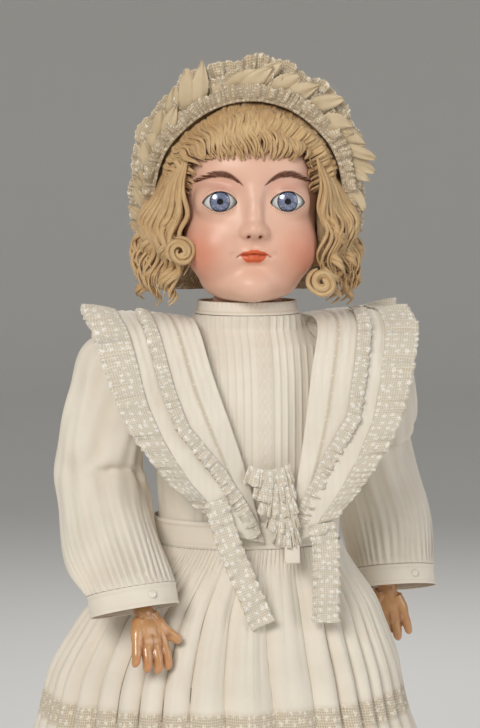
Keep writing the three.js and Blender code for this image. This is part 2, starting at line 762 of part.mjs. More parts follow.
// Legs hang straight; the foot is one with the lower leg
const ANKLE = 12;
const ANKLE_Z = -LOWER_LEG_LENGTH;
const ANKLE_SINK = 12;
const THIGH_END = 14;
const SOLE_THICKNESS = 4;
const FOOT_BACK = 17;
const FOOT_FRONT = 52;
const FOOT_HEEL_WIDTH = 10;
const FOOT_BALL_EXTRA = 5.5;
const TOE_HEIGHT = 13;
const INSTEP_HEIGHT = 21;
const FOOT_STEPS = [0, 0.12, 0.35, 0.7, 0.92, 1];

function thigh() {
  const cones = [LEG_CONE, LEG_CONE];
  return skin(boredLimb(THIGH_LENGTH, HIP_BALL, KNEE_BALL, cones, THIGH_STATIONS, THIGH_END));
}

// One section of the foot, from heel at 0 to toe at 1
function footRing(t, grow) {
  const y = FOOT_BACK - (FOOT_BACK + FOOT_FRONT) * t;
  const spread = FOOT_HEEL_WIDTH + FOOT_BALL_EXTRA * Math.sin(Math.PI * Math.min(t * 0.72 + 0.1, 1));
  const halfWidth = spread * Math.sqrt(Math.sin(Math.PI * (0.08 + 0.84 * t)));
  const height = TOE_HEIGHT + INSTEP_HEIGHT * Math.exp(-(((t - 0.22) / 0.3) ** 2)) - 4 * t;
  const floor = ANKLE_Z - FOOT_HEIGHT + SOLE_THICKNESS + 2 * SEAT_GAP + CLOTH - grow;
  const middle = floor + (height + 2 * grow) / 2;
  return ring(8, (a) => vec(
    (halfWidth + grow) * Math.cos(a),
    y + (t === 0 ? grow : 0) - (t === 1 ? grow : 0),
    middle + (height / 2 + grow) * Math.sin(a)
  ));
}

function foot(grow = 0) {
  return solid(loft(FOOT_STEPS.map((t) => footRing(t, grow))));
}

function lowerLeg() {
  const top = cupEnd(KNEE_BALL, LEG_CONE, 0, -1);
  const body = limb([
    top.rim,
    ...middleOf(LOWER_LEG_STATIONS, LOWER_LEG_LENGTH),
    [ANKLE_Z - ANKLE_SINK, ANKLE, ANKLE + 1, 0]
  ], [top]);
  return skin(body.add(foot()).subtract(boreDown(2 * LEG_HOOK_DEPTH)));
}

const legs = {};

function buildLeg(name, side) {
  const hip = groupAt(figure, side * HIP_X, 0, HIP_Z);
  const upper = groupAt(hip, 0, 0, 0);
  const knee = groupAt(upper, 0, 0, -THIGH_LENGTH);
  const lower = groupAt(knee, 0, 0, 0);
  legs[name] = { hip, upper, knee, lower, side };
  add(hip, `hip_ball_${name}`, jointBall(HIP_BALL), composition);
  add(upper, `thigh_${name}`, thigh(), composition);
  add(knee, `knee_ball_${name}`, jointBall(KNEE_BALL), composition);
  add(lower, `lower_leg_${name}`, lowerLeg(), composition);
}

buildLeg('right', -1);
buildLeg('left', 1);

// Cloth as a thin closed skin: outer rings down one side and inner rings back up the other
function clothSolid(outerRings, innerRings) {
  return solid(loft([...outerRings, ...innerRings.slice().reverse()], true));
}

function ovalCloth(stations, sides, centreAt = () => 0) {
  const outer = stations.map(([z, a, b]) => oval(sides, z, a, b, centreAt(z)));
  const inner = stations.map(([z, a, b]) => oval(sides, z, a - CLOTH, b - CLOTH, centreAt(z)));
  return clothSolid(outer, inner);
}

// The stand collar, buttoned behind
add(figure, 'collar_band', skin(ovalCloth([
  [BODICE_TOP_Z + SEAT_GAP, COLLAR_RADIUS + 2.5, COLLAR_RADIUS + 2],
  [COLLAR_TOP_Z, COLLAR_RADIUS, COLLAR_RADIUS]
], 20)), lawn);

const ARMHOLE_SIDES = 16;

// The bodice, with a round armhole at each side
function bodice() {
  let body = ovalCloth(BODICE_STATIONS, 16);
  [-1, 1].forEach((side) => {
    const hole = new THREE.CylinderGeometry(ARMHOLE_RADIUS, ARMHOLE_RADIUS, 60, ARMHOLE_SIDES);
    hole.rotateZ(Math.PI / 2).translate(side * 64, SHOULDER_Y, ARMHOLE_Z);
    body = body.subtract(solid(hole));
  });
  return skin(largestPiece(body));
}

add(figure, 'dress_bodice', bodice(), lawn);

const [BODICE_HEM_Z, BODICE_HEM_X, BODICE_HEM_Y] = BODICE_STATIONS[0];
const bandX = BODICE_HEM_X + CLOTH + SEAT_GAP;
const bandY = BODICE_HEM_Y + CLOTH + SEAT_GAP;
add(figure, 'waistband', skin(ovalCloth([
  [BODICE_HEM_Z - 1 + SEAT_GAP, bandX + 0.4, bandY + 0.4],
  [BODICE_HEM_Z - 1 + WAISTBAND_HEIGHT, bandX + 1, bandY + 1.2]
], 20)), lawn);

// The gathered skirt: the folds start at the waist and open towards the hem
const SKIRT_SIDES = SKIRT_FOLDS * 4;

function skirtLean(z) {
  const [top] = SKIRT_STATIONS[0];
  const [hem] = SKIRT_STATIONS[SKIRT_STATIONS.length - 1];
  return -SKIRT_LEAN * Math.sin(Math.PI * (top - z) / (top - hem));
}

function skirtRing([z, a, b], inset) {
  const [top] = SKIRT_STATIONS[0];
  const depth = SKIRT_FOLD_DEPTH * Math.min(1, (top - z) / 40 + 0.3);
  return ring(SKIRT_SIDES, (angle) => {
    const fold = 1 + depth * (Math.cos(SKIRT_FOLDS * angle) + 0.4 * Math.cos(SKIRT_FOLDS / 2 * angle));
    return vec(skirtLean(z) + (a * fold - inset) * Math.cos(angle), (b * fold - inset) * Math.sin(angle), z);
  });
}

add(figure, 'skirt', skin(clothSolid(
  SKIRT_STATIONS.map((station) => skirtRing(station, 0)),
  SKIRT_STATIONS.map((station) => skirtRing(station, CLOTH))
)), lawn);

add(figure, 'petticoat', skin(ovalCloth(PETTICOAT_STATIONS, 18, skirtLean)), lawn);

// Full sleeves from the armhole to the cuff, each hung over its bent arm
function jointPoint(group, x = 0, y = 0, z = 0) {
  doll.updateMatrixWorld(true);
  return figure.worldToLocal(vec(x, y, z).applyMatrix4(group.matrixWorld));
}

const CUFF_AT = 1.02;
const CUFF_TILT = 18;
const CUFF_OUT = 5;

function cuffFrame(arm) {
  const elbow = jointPoint(arm.elbow);
  const wrist = jointPoint(arm.wrist);
  const centre = elbow.clone().lerp(wrist, CUFF_AT);
  centre.x += arm.pose.side * CUFF_OUT;
  const along = wrist.clone().sub(elbow).setY(0).normalize();
  const down = vec(along.x * 0.35, -Math.sin(rad(CUFF_TILT)), -1).normalize();
  const across = vec(1, 0, 0).sub(down.clone().multiplyScalar(down.x)).normalize();
  const front = down.clone().cross(across);
  return { centre, down, across, front, elbow, wrist };
}

function frameRing(sides, frame, centre, a, b) {
  return ring(sides, (angle) => centre.clone()
    .addScaledVector(frame.across, a * Math.cos(angle))
    .addScaledVector(frame.front, b * Math.sin(angle)));
}

const SLEEVE_SIDES = 14;
const SLEEVE_SECTIONS = [
  { inward: 29, outward: 29, depth: 29 },
  { inward: 20, outward: 41.5, depth: 25 },
  { inward: 20.5, outward: 34, depth: 25 },
  { inward: 24, outward: 29, depth: 26 },
  { inward: 28, outward: 28, depth: 27 },
  { inward: 28, outward: 29, depth: 25 },
  { inward: CUFF_HALF_WIDTH, outward: CUFF_HALF_WIDTH, depth: CUFF_HALF_DEPTH }
];
const SLEEVE_CREASES = 5;

function sleeveCentres(arm, cuff) {
  const side = arm.pose.side;
  const shoulder = jointPoint(arm.shoulder);
  const axis = cuff.elbow.clone().sub(shoulder).normalize();
  const onArm = (reach, out) => shoulder.clone().addScaledVector(axis, reach).add(vec(side * out, 0, 0));
  const bend = cuff.elbow.clone().add(vec(-side * 8, 0, 2));
  const end = cuff.centre.clone().addScaledVector(cuff.down, -CUFF_HEIGHT / 2 - SEAT_GAP);
  return [
    vec(side * 50, SHOULDER_Y, ARMHOLE_Z),
    onArm(20, -2),
    onArm(38, 3),
    onArm(64, 2),
    bend,
    bend.clone().lerp(end, 0.55).add(vec(side * 3, 3, -3)),
    end
  ];
}

// The half width of the bodice at a height and depth
function bodiceHalfWidth(y, z) {
  const above = Math.max(1, BODICE_STATIONS.findIndex(([height]) => height >= z));
  const [low, high] = [BODICE_STATIONS[above - 1], BODICE_STATIONS[above]];
  const t = (z - low[0]) / (high[0] - low[0]);
  const halfX = low[1] + (high[1] - low[1]) * t;
  const halfY = low[2] + (high[2] - low[2]) * t;
  return halfX * Math.sqrt(1 - (y / halfY) ** 2);
}

// The sleeve's seam lies just inside the armhole, on the bodice's own surface
function armholeRing(side, inset) {
  const reach = ARMHOLE_RADIUS * Math.cos(Math.PI / ARMHOLE_SIDES) - SEAT_GAP - inset;
  return ring(SLEEVE_SIDES, (angle) => {
    const y = SHOULDER_Y - side * reach * Math.sin(angle);
    const z = ARMHOLE_Z + reach * Math.cos(angle);
    return vec(side * bodiceHalfWidth(y, z), y, z);
  });
}

function sleeve(arm) {
  const side = arm.pose.side;
  const cuff = cuffFrame(arm);
  const centres = sleeveCentres(arm, cuff);
  const last = centres.length - 1;
  const rings = [0, CLOTH].map((inset) => centres.map((centre, i) => {
    let along = centres[Math.min(i + 1, last)].clone().sub(centres[Math.max(i - 1, 0)]).normalize();
    if (i === 0) along = vec(side, 0, 0);
    if (i === last) along = cuff.down;
    const outward = vec(side, 0, 0).sub(along.clone().multiplyScalar(along.x * side)).normalize();
    if (i === 0) outward.set(0, 0, 1);
    const front = along.clone().cross(outward);
    const { inward, outward: out, depth } = SLEEVE_SECTIONS[i];
    if (i === 0) return armholeRing(side, inset);
    return ring(SLEEVE_SIDES, (angle) => {
      const crease = 1 + 0.03 * Math.sin(Math.PI * i / last) * Math.cos(SLEEVE_CREASES * angle);
      const reach = Math.cos(angle) > 0 ? out : inward;
      return centre.clone()
        .addScaledVector(outward, (reach * crease - inset) * Math.cos(angle))
        .addScaledVector(front, (depth * crease - inset) * Math.sin(angle));
    });
  }));
  return skin(clothSolid(rings[0], rings[1]));
}

function cuffBand(arm) {
  const frame = cuffFrame(arm);
  const rings = [0, CLOTH].map((inset) => [-0.5, 0, 0.5].map((t) => {
    const centre = frame.centre.clone().addScaledVector(frame.down, CUFF_HEIGHT * t);
    return frameRing(SLEEVE_SIDES, frame, centre, CUFF_HALF_WIDTH - inset, CUFF_HALF_DEPTH - inset);
  }));
  return skin(clothSolid(rings[0], rings[1]));
}

Object.entries(arms).forEach(([name, arm]) => {
  add(figure, `sleeve_${name}`, sleeve(arm), lawn);
  add(figure, `cuff_${name}`, cuffBand(arm), lawn);
});

// Deep shoulder frills with lace edges, from the waist in front over the shoulder to the back
const FRILL_WAVES = 6;
const FRILL_WAVE_DEPTH = 2.2;
const FRILL_BELLY = 3;
const FRILL_STEPS = 18;
const FRILL_WIDTHS = [0, 0.33, 0.7, 1];
const FRILL_SHIFT = 8;
const FRILL_FRONT_Y = -45.05;
const FRILL_FRONT_STEP = 0.8;
const FRILL_INNER_EDGE = [
  [7, FRILL_FRONT_Y, 404],
  [18, -49, 455],
  [30, -45, 505],
  [37, -32, 534],
  [37.4, 0, 538.5],
  [37, 33, 532],
  [28, 46, 490],
  [12, 48, 410]
];
const FRILL_OUTER_EDGE = [
  [26, -50, 409],
  [62, -56, 444],
  [84, -48, 482],
  [93, -34, 522],
  [97, 2, 541],
  [86, 44, 530],
  [54, 62, 484],
  [22, 52, 412]
];

function bretelle(side) {
  const inner = new THREE.CatmullRomCurve3(FRILL_INNER_EDGE.map(([x, y, z]) => vec(side * x, y, z)));
  const outer = new THREE.CatmullRomCurve3(FRILL_OUTER_EDGE.map(([x, y, z]) => vec(side * x, y, z)));
  inner.points[0].add(vec(FRILL_SHIFT, side * FRILL_FRONT_STEP, 0));
  inner.points[1].add(vec(FRILL_SHIFT * 0.6, 0, 0));
  outer.points[0].add(vec(FRILL_SHIFT, 0, 0));
  const rings = Array.from({ length: FRILL_STEPS + 1 }, (_, i) => {
    const t = i / FRILL_STEPS;
    const a = inner.getPoint(t);
    const b = outer.getPoint(t);
    const along = inner.getTangent(t);
    const across = b.clone().sub(a).normalize();
    const normal = along.clone().cross(across).normalize().multiplyScalar(side);
    const wave = FRILL_WAVE_DEPTH * Math.sin(2 * Math.PI * FRILL_WAVES * t);
    const at = (w, lift) => a.clone().lerp(b, w)
      .addScaledVector(normal, lift + FRILL_BELLY * Math.sin(Math.PI * w) + wave * w * w);
    const outwards = FRILL_WIDTHS.map((w) => at(w, CLOTH));
    const inwards = FRILL_WIDTHS.map((w) => at(w, 0)).reverse();
    return [...outwards, ...inwards];
  });
  return skin(solid(loft(rings)));
}

add(figure, 'bretelle_right', bretelle(-1), ecru);
add(figure, 'bretelle_left', bretelle(1), ecru);

// Stockings over the calves and low shoes on the feet
const STOCKING_STATIONS = [
  [0.25, 17.6, 18.4, 2],
  [0.46, 17.2, 18.8, 3.5],
  [0.71, 13.2, 14, 2],
  [0.87, 13, 13, 0.4]
];
const STOCKING_EASE = 0.8;

function stocking() {
  const stations = middleOf(STOCKING_STATIONS, LOWER_LEG_LENGTH);
  const rings = (grow) => stations.map(([z, a, b, y]) => oval(LIMB_SIDES, z, a + grow, b + grow, 0, y));
  return skin(clothSolid(rings(CLOTH + STOCKING_EASE), rings(STOCKING_EASE)));
}

const SHOE_MOUTH_TOP = 44;
const SHOE_MOUTH_SIZE = [15, 34, 26];
const SHOE_MOUTH_BACK = 4;
const SHOE_ANKLE_EASE = 2.5;

function shoeUpper() {
  const floor = ANKLE_Z - FOOT_HEIGHT + SOLE_THICKNESS;
  const mouth = oblong(vec(0, SHOE_MOUTH_BACK, floor + SHOE_MOUTH_TOP), SHOE_MOUTH_SIZE, 8, 6);
  const ankleRadius = ANKLE + SHOE_ANKLE_EASE;
  const ankle = new THREE.CylinderGeometry(ankleRadius, ankleRadius, 60, 10).rotateX(Math.PI / 2);
  ankle.translate(0, 0.5, floor + SHOE_MOUTH_TOP);
  const shell = foot(SEAT_GAP + CLOTH).subtract(foot(SEAT_GAP)).subtract(mouth).subtract(solid(ankle));
  return skin(largestPiece(shell));
}

const SOLE_EDGE = 3;
const SOLE_HALF_WIDTHS = { front: 15, heel: 12 };

function shoeSole() {
  const bottom = ANKLE_Z - FOOT_HEIGHT;
  const rings = [0, SOLE_THICKNESS].map((z) => ring(18, (a) => {
    const y = (FOOT_BACK - FOOT_FRONT) / 2 + ((FOOT_BACK + FOOT_FRONT) / 2 + SOLE_EDGE) * Math.sin(a);
    const half = y < 0 ? SOLE_HALF_WIDTHS.front : SOLE_HALF_WIDTHS.heel;
    return vec(half * Math.cos(a), y, bottom + z);
  }));
  return skin(solid(loft(rings)));
}

Object.entries(legs).forEach(([name, leg]) => {
  add(leg.lower, `stocking_${name}`, stocking(), knit);
  add(leg.lower, `shoe_upper_${name}`, shoeUpper(), kid);
  add(leg.lower, `shoe_sole_${name}`, shoeSole(), kid);
});

const FACE_HALF_WIDTH = 42;
const FACE_HALF_HEIGHT = 42;

// The mohair wig: a cap, a fringe over the brow, and hanging curls at each side
const HAIR_WAVE_DEPTH = 1.2;
const HAIR_WAVE_TILT = 5;
const HAIR_LOW_Z = 26;
const FRINGE_LOW_Z = 40;

function hairSkin(depth) {
  return headSkin(SKIN_AROUND, SKIN_DOWN, (a, tilt) => {
    return -depth - HAIR_WAVE_DEPTH * Math.cos(HAIR_WAVES * a / 2 + HAIR_WAVE_TILT * tilt);
  });
}

// Everything in the head's frame that lies below a height
function below(z) {
  return blockSolid(vec(-200, -200, -200), vec(200, 200, z));
}

function frontOf(y) {
  return blockSolid(vec(-200, -200, -200), vec(200, y, 250));
}

const FACE_WINDOW_Z = 50;
const faceWindow = solid(new THREE.CylinderGeometry(1, 1, 90, 20)
  .scale(FACE_HALF_WIDTH, 1, FACE_HALF_HEIGHT)
  .translate(0, -65, FACE_WINDOW_Z));
const hairUnder = headSkin(SKIN_AROUND, SKIN_DOWN, -HAIR_CLEARANCE);
const hairOver = hairSkin(HAIR_DEPTH - 1.5);

const wigCap = hairOver.subtract(hairUnder).subtract(frontOf(HAIR_SPLIT_Y)).subtract(below(HAIR_LOW_Z));
add(head, 'wig_cap', skin(largestPiece(wigCap)), mohair);
const fringe = hairOver.subtract(hairUnder)
  .intersect(frontOf(HAIR_SPLIT_Y - SEAT_GAP))
  .subtract(faceWindow)
  .subtract(below(FRINGE_LOW_Z));
add(head, 'wig_fringe', skin(largestPiece(fringe)), mohair);

// Everything behind the slanted plane of the bonnet's front edge
const BONNET_TOP_Z = HEAD_HEART.z + 70;
const BONNET_LOW_Z = 10;

function behindBonnetEdge(forward) {
  const block = new THREE.BoxGeometry(400, 300, 500).translate(0, 150 - forward, 0);
  block.rotateX(rad(BONNET_FRONT_SLANT));
  return solid(block.translate(0, BONNET_FRONT_TOP_Y, BONNET_TOP_Z));
}

const CURLS = [
  { x: 49, y: -33, top: 62, low: 8, radius: 7.5 },
  { x: 59, y: -20, top: 66, low: 7, radius: 8.5 },
  { x: 65, y: -9, top: 52, low: 8, radius: 7.5 }
];
const CURL_TURNS = 2;
const CURL_SWING = 3.2;
const FRONT_ROLL_RADIUS = 9;
const FRONT_ROLL_LENGTH = 10;
const RIGHT_ROLL = [-44, -42, 36];
const LEFT_ROLL = [42, -42, 17];

function hangingCurls(side, rollAt) {
  const steps = 8;
  const locks = CURLS.map(({ x, y, top, low, radius }, n) => {
    const path = Array.from({ length: steps + 1 }, (_, i) => {
      const t = i / steps;
      const turn = 2 * Math.PI * (CURL_TURNS * t + n * 0.3);
      const wide = CURL_SWING * Math.min(1, 4 * t);
      return vec(side * (x + wide * Math.cos(turn)), y + wide * Math.sin(turn), top + (low - top) * t);
    });
    return solid(tube(path, (t) => radius * (0.55 + 0.45 * Math.sin(Math.PI * (0.2 + 0.65 * t))), 5));
  });
  const roll = new THREE.CylinderGeometry(FRONT_ROLL_RADIUS, FRONT_ROLL_RADIUS * 0.9, FRONT_ROLL_LENGTH, 8);
  locks.push(solid(roll.translate(...rollAt)));
  const joined = locks.reduce((all, lock) => all.add(lock));
  return skin(largestPiece(joined.subtract(hairSkin(HAIR_DEPTH - 0.6)).subtract(behindBonnetEdge(4))));
}

add(head, 'wig_curls_right', hangingCurls(-1, RIGHT_ROLL), mohair);
add(head, 'wig_curls_left', hangingCurls(1, LEFT_ROLL), mohair);

// The bonnet: a cap behind the slanted front edge and a deep frill standing out round the face
const bonnetShell = headSkin(SKIN_AROUND, SKIN_DOWN, -BONNET_DEPTH - CLOTH)
  .subtract(headSkin(SKIN_AROUND, SKIN_DOWN, -BONNET_DEPTH))
  .intersect(behindBonnetEdge(0))
  .subtract(below(BONNET_LOW_Z));
add(head, 'bonnet_cap', skin(largestPiece(bonnetShell)), ecru);

const BONNET_FRILL_STEPS = 26;
const BONNET_FRILL_SPREAD = 2.05;
const BONNET_FRILL_HUB = 62;
const BONNET_FRILL_FORWARD = 3.5;
const BONNET_FRILL_WAVE = 2.4;

function bonnetFrill() {
  const slant = rad(BONNET_FRONT_SLANT);
  const up = vec(0, -Math.sin(slant), Math.cos(slant));
  const forward = vec(0, -Math.cos(slant), -Math.sin(slant));
  const top = vec(0, BONNET_FRONT_TOP_Y, BONNET_TOP_Z);
  const middle = top.clone()
    .addScaledVector(up, -BONNET_FRILL_HUB)
    .addScaledVector(forward, -BONNET_FRILL_FORWARD);
  const rings = Array.from({ length: BONNET_FRILL_STEPS + 1 }, (_, i) => {
    const t = 2 * i / BONNET_FRILL_STEPS - 1;
    const turn = BONNET_FRILL_SPREAD * t;
    const direction = vec(Math.sin(turn), 0, 0).addScaledVector(up, Math.cos(turn));
    const inner = headHit(middle, direction, -BONNET_DEPTH - CLOTH - SEAT_GAP);
    const wave = Math.cos(Math.PI * BONNET_FRILL_WAVES * t);
    const width = BONNET_FRILL_END_WIDTH
      + (BONNET_FRILL_WIDTH - BONNET_FRILL_END_WIDTH) * Math.cos(Math.PI * t / 2) ** 2;
    const at = (reach, lift) => inner.clone()
      .addScaledVector(direction, reach)
      .addScaledVector(forward, lift + reach / width * (BONNET_FRILL_WAVE * wave - 2));
    const reaches = [0, width / 2, width + wave];
    const outwards = reaches.map((r) => at(r, CLOTH));
    const inwards = reaches.map((r) => at(r, 0)).reverse();
    return [...outwards, ...inwards];
  });
  return skin(solid(loft(rings)));
}

add(head, 'bonnet_frill', bonnetFrill(), ecru);

// Elastic cords through the bored limbs, and the hook at each wrist
const WRIST_HOOK_REACH = 11;
const WRIST_WIRE = 0.8;
const WRIST_HOOK_BEND = 1.4;

function wristHook() {
  const path = [vec(0, 0, WRIST_BALL + SEAT_GAP), vec(0, 0, WRIST_HOOK_REACH)];
  for (let i = 1; i <= 4; i++) {
    const angle = Math.PI * i / 5;
    const rise = WRIST_HOOK_REACH + WRIST_HOOK_BEND * Math.sin(angle);
    path.push(vec(0, WRIST_HOOK_BEND * (1 - Math.cos(angle)), rise));
  }
  return skin(solid(tube(path, () => WRIST_WIRE, 5)));
}

// A path that runs straight between points and rounds each corner
function roundedPath(points, cornerReach) {
  const path = [points[0]];
  for (let i = 1; i < points.length - 1; i++) {
    const before = points[i].clone().lerp(points[i - 1], cornerReach / points[i].distanceTo(points[i - 1]));
    const after = points[i].clone().lerp(points[i + 1], cornerReach / points[i].distanceTo(points[i + 1]));
    const corner = new THREE.QuadraticBezierCurve3(before, points[i], after);
    path.push(...corner.getPoints(4));
  }
  path.push(points[points.length - 1]);
  return path;
}

const ELBOW_CORNER = 9;
const HOOK_END_GAP = 2.55;

function armRoute({ shoulder, elbow, wrist }) {
  const ends = [jointPoint(elbow), jointPoint(wrist)];
  const hook = ends[1].clone().lerp(ends[0], (WRIST_HOOK_REACH + HOOK_END_GAP) / FOREARM_LENGTH);
  return [hook, ends[0], jointPoint(shoulder)];
}

const ARM_CORD_Y = 5;
const ARM_CORD_Z = NECK_Z - HOOK_DROP - 0.6;
const armCordPath = roundedPath([
  ...armRoute(arms.right),
  vec(0, ARM_CORD_Y, ARM_CORD_Z),
  ...armRoute(arms.left).reverse()
], ELBOW_CORNER);
add(figure, 'arm_elastic', skin(solid(tube(armCordPath, () => ELASTIC_RADIUS, 5))), rubberCord);

const LEG_CORD_X = 4.2;
const LEG_CORD_TOP = NECK_Z - HOOK_DROP - 2;

function legRoute({ hip, knee, lower, side }) {
  return roundedPath([
    jointPoint(lower, 0, 0, -LEG_HOOK_DEPTH),
    jointPoint(knee),
    jointPoint(hip),
    vec(side * LEG_CORD_X, -3, LEG_CORD_TOP)
  ], ELBOW_CORNER);
}

Object.entries(legs).forEach(([name, leg]) => {
  const path = legRoute(leg);
  add(figure, `leg_elastic_${name}`, skin(solid(tube(path, () => ELASTIC_RADIUS, 5))), rubberCord);
});

// The balls and the limbs that the cords pass through are bored along the cords
function cordBore(path) {
  const longer = path.slice();
  const last = path.length - 1;
  longer[0] = path[0].clone().lerp(path[1], -0.05);
  longer[last] = path[last].clone().lerp(path[last - 1], -0.05);
  return solid(tube(longer, () => BORE_RADIUS, 6));
}

const armCordBore = cordBore(armCordPath);
doll.traverse((mesh) => {
  if (/^(shoulder_ball|elbow_ball)/.test(mesh.name)) cutInPlace(mesh, armCordBore);
});
Object.values(legs).forEach((leg) => {
  const cordHole = cordBore(legRoute(leg));
  [leg.hip, leg.knee].forEach((joint) => cutInPlace(joint.children.find((child) => child.isMesh), cordHole));
});
Object.entries(arms).forEach(([name, arm]) => {
  add(arm.wrist, `wrist_hook_${name}`, wristHook(), steel);
});

export default doll;
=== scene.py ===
import json
import math
import random

import bmesh
import bpy
import numpy as np
from mathutils import Matrix, Vector


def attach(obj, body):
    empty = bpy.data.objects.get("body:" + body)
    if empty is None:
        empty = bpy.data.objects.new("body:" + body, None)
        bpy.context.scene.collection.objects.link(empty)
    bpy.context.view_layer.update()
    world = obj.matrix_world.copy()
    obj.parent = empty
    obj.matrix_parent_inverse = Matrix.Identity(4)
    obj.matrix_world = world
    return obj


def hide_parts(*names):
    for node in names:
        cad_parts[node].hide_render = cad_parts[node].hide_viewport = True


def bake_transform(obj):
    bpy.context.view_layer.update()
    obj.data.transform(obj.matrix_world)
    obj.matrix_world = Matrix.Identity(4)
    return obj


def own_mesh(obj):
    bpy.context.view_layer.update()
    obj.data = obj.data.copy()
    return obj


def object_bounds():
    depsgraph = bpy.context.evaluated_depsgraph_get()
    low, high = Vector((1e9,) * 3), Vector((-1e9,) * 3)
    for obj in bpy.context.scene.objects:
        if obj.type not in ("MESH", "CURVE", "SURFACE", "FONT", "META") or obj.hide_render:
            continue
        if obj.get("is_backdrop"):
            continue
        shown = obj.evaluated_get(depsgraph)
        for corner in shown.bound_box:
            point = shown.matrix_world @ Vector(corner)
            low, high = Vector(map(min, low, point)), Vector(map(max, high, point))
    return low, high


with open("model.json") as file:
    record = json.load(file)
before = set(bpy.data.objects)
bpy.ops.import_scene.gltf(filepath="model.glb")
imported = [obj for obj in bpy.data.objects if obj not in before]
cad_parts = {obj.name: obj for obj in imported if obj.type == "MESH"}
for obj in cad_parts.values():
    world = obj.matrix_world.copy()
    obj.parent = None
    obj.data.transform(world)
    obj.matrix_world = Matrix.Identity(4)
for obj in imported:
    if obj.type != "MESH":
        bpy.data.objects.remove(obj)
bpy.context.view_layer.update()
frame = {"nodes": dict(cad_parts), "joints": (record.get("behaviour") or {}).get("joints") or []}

# Studio: a pale floor that curves up into a backdrop, a large soft lamp on each side,
# and the camera where the photograph was taken from, a little above the doll's eyes.
view_distance = 1.5
view_turn = math.radians(-12)
camera_height = 0.643
film_height = 24
focal_pixels = 2419
photo_height = 728
horizon_row = 148
axis_column_offset = 7
camera_data = bpy.data.cameras.new("studio_camera")
camera = bpy.data.objects.new("studio_camera", camera_data)
bpy.context.scene.collection.objects.link(camera)
camera_data.sensor_fit = "VERTICAL"
camera_data.sensor_height = film_height
camera_data.lens = film_height * focal_pixels / photo_height
camera.location = (view_distance * math.sin(view_turn), -view_distance * math.cos(view_turn), camera_height)
pitch = math.atan((photo_height / 2 - horizon_row) / focal_pixels)
camera.rotation_euler = (math.pi / 2 - pitch, 0, view_turn + math.atan(axis_column_offset / focal_pixels))
bpy.context.scene.camera = camera


def backdrop_mesh():
    """A round floor that sweeps up into a wall, far outside the camera."""
    reach, height, bend = 6.0, 5.0, 1.2
    profile = [(0.0, 0.0), (reach - bend, 0.0)]
    for step in range(1, 9):
        angle = math.pi / 2 * step / 8
        profile.append((reach - bend + bend * math.sin(angle), bend - bend * math.cos(angle)))
    profile.append((reach, height))
    mesh = bmesh.new()
    around = 64
    rings = [[mesh.verts.new((r * math.cos(2 * math.pi * i / around),
                              r * math.sin(2 * math.pi * i / around), z))
              for i in range(around)] for r, z in profile[1:]]
    hub = mesh.verts.new((0, 0, 0))
    for i in range(around):
        j = (i + 1) % around
        mesh.faces.new((hub, rings[0][i], rings[0][j]))
        for low, high in zip(rings, rings[1:]):
            mesh.faces.new((low[i], high[i], high[j], low[j]))
    data = bpy.data.meshes.new("studio_sweep")
    mesh.to_mesh(data)
    mesh.free()
    for face in data.polygons:
        face.use_smooth = True
    return data


studio = bpy.data.objects.new("studio_sweep", backdrop_mesh())
bpy.context.scene.collection.objects.link(studio)
paper = bpy.data.materials.new("studio_paper")
paper.use_nodes = True
paper.node_tree.nodes["Principled BSDF"].inputs["Base Color"].default_value = (0.78, 0.77, 0.75, 1)
paper.node_tree.nodes["Principled BSDF"].inputs["Roughness"].default_value = 0.9
studio.data.materials.append(paper)
studio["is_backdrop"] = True


def lamp(name, spot, aim, size, watts, tint=(1, 1, 1)):
    data = bpy.data.lights.new(name, "AREA")
    data.shape = "DISK"
    data.size = size
    data.energy = watts
    data.color = tint
    light = bpy.data.objects.new(name, data)
    light.location = spot
    light.rotation_euler = (Vector(aim) - Vector(spot)).to_track_quat("-Z", "Y").to_euler()
    light.visible_camera = False
    bpy.context.scene.collection.objects.link(light)


lamp("key_lamp", (-1.1, -1.7, 1.5), (0, 0, 0.5), 1.0, 30, (1.0, 0.97, 0.93))
lamp("fill_lamp", (1.6, -1.2, 0.9), (0, 0, 0.45), 1.4, 9, (0.97, 0.98, 1.0))
lamp("rim_lamp", (0.6, 1.6, 1.6), (0, 0, 0.55), 0.9, 14)
world = bpy.data.worlds.new("studio_world")
bpy.context.scene.world = world
world.use_nodes = True
world.node_tree.nodes["Background"].inputs["Color"].default_value = (1.0, 0.99, 0.97, 1)
world.node_tree.nodes["Background"].inputs["Strength"].default_value = 0.35
bpy.context.scene.view_settings.view_transform = "Standard"


# The bisque head: poured and fired in a mould, tinted all over, with china-painted lips,
# cheeks, brows and lashes. The crown and the neck are open, and each eye has an almond
# opening over a round seat for its glass eye. Shapes are in millimetres, and places in metres.
head_turn = math.radians(-7)
head_place = Matrix.Translation((0, 0, 0.545)) @ Matrix.Rotation(head_turn, 4, "Z")
head_heart = np.array((0.0, -6.0, 54.0))
clay_blend = 7 / 3
bisque_wall = 4.0
eye_spot = np.array((20.4, -35.5, 66.0))
eye_radius = 13.0
head_lumps = (
    ((0, 6, 78), (47, 54, 49)),
    ((0, -14, 52), (40, 36, 46)),
    ((-19, -28, 38), (21, 21, 21)),
    ((19, -28, 38), (21, 21, 21)),
    ((0, -18, 16), (28, 26, 12)),
    ((0, -36, 86), (30, 14, 16)),
    ((0, -40, 15), (11, 9, 9)),
    ((-46, 4, 58), (4, 9, 15)),
    ((46, 4, 58), (4, 9, 15)),
)
nose_lumps = (
    ((0, -53.6, 49.6), (5.0, 5.6, 4.4)),
    ((0, -50.6, 58.5), (4.8, 4.8, 9.6)),
    ((0, -47.6, 69.5), (5.6, 3.6, 10.0)),
    ((-5.6, -50.4, 47.4), (3.4, 4.6, 2.9)),
    ((5.6, -50.4, 47.4), (3.4, 4.6, 2.9)),
)
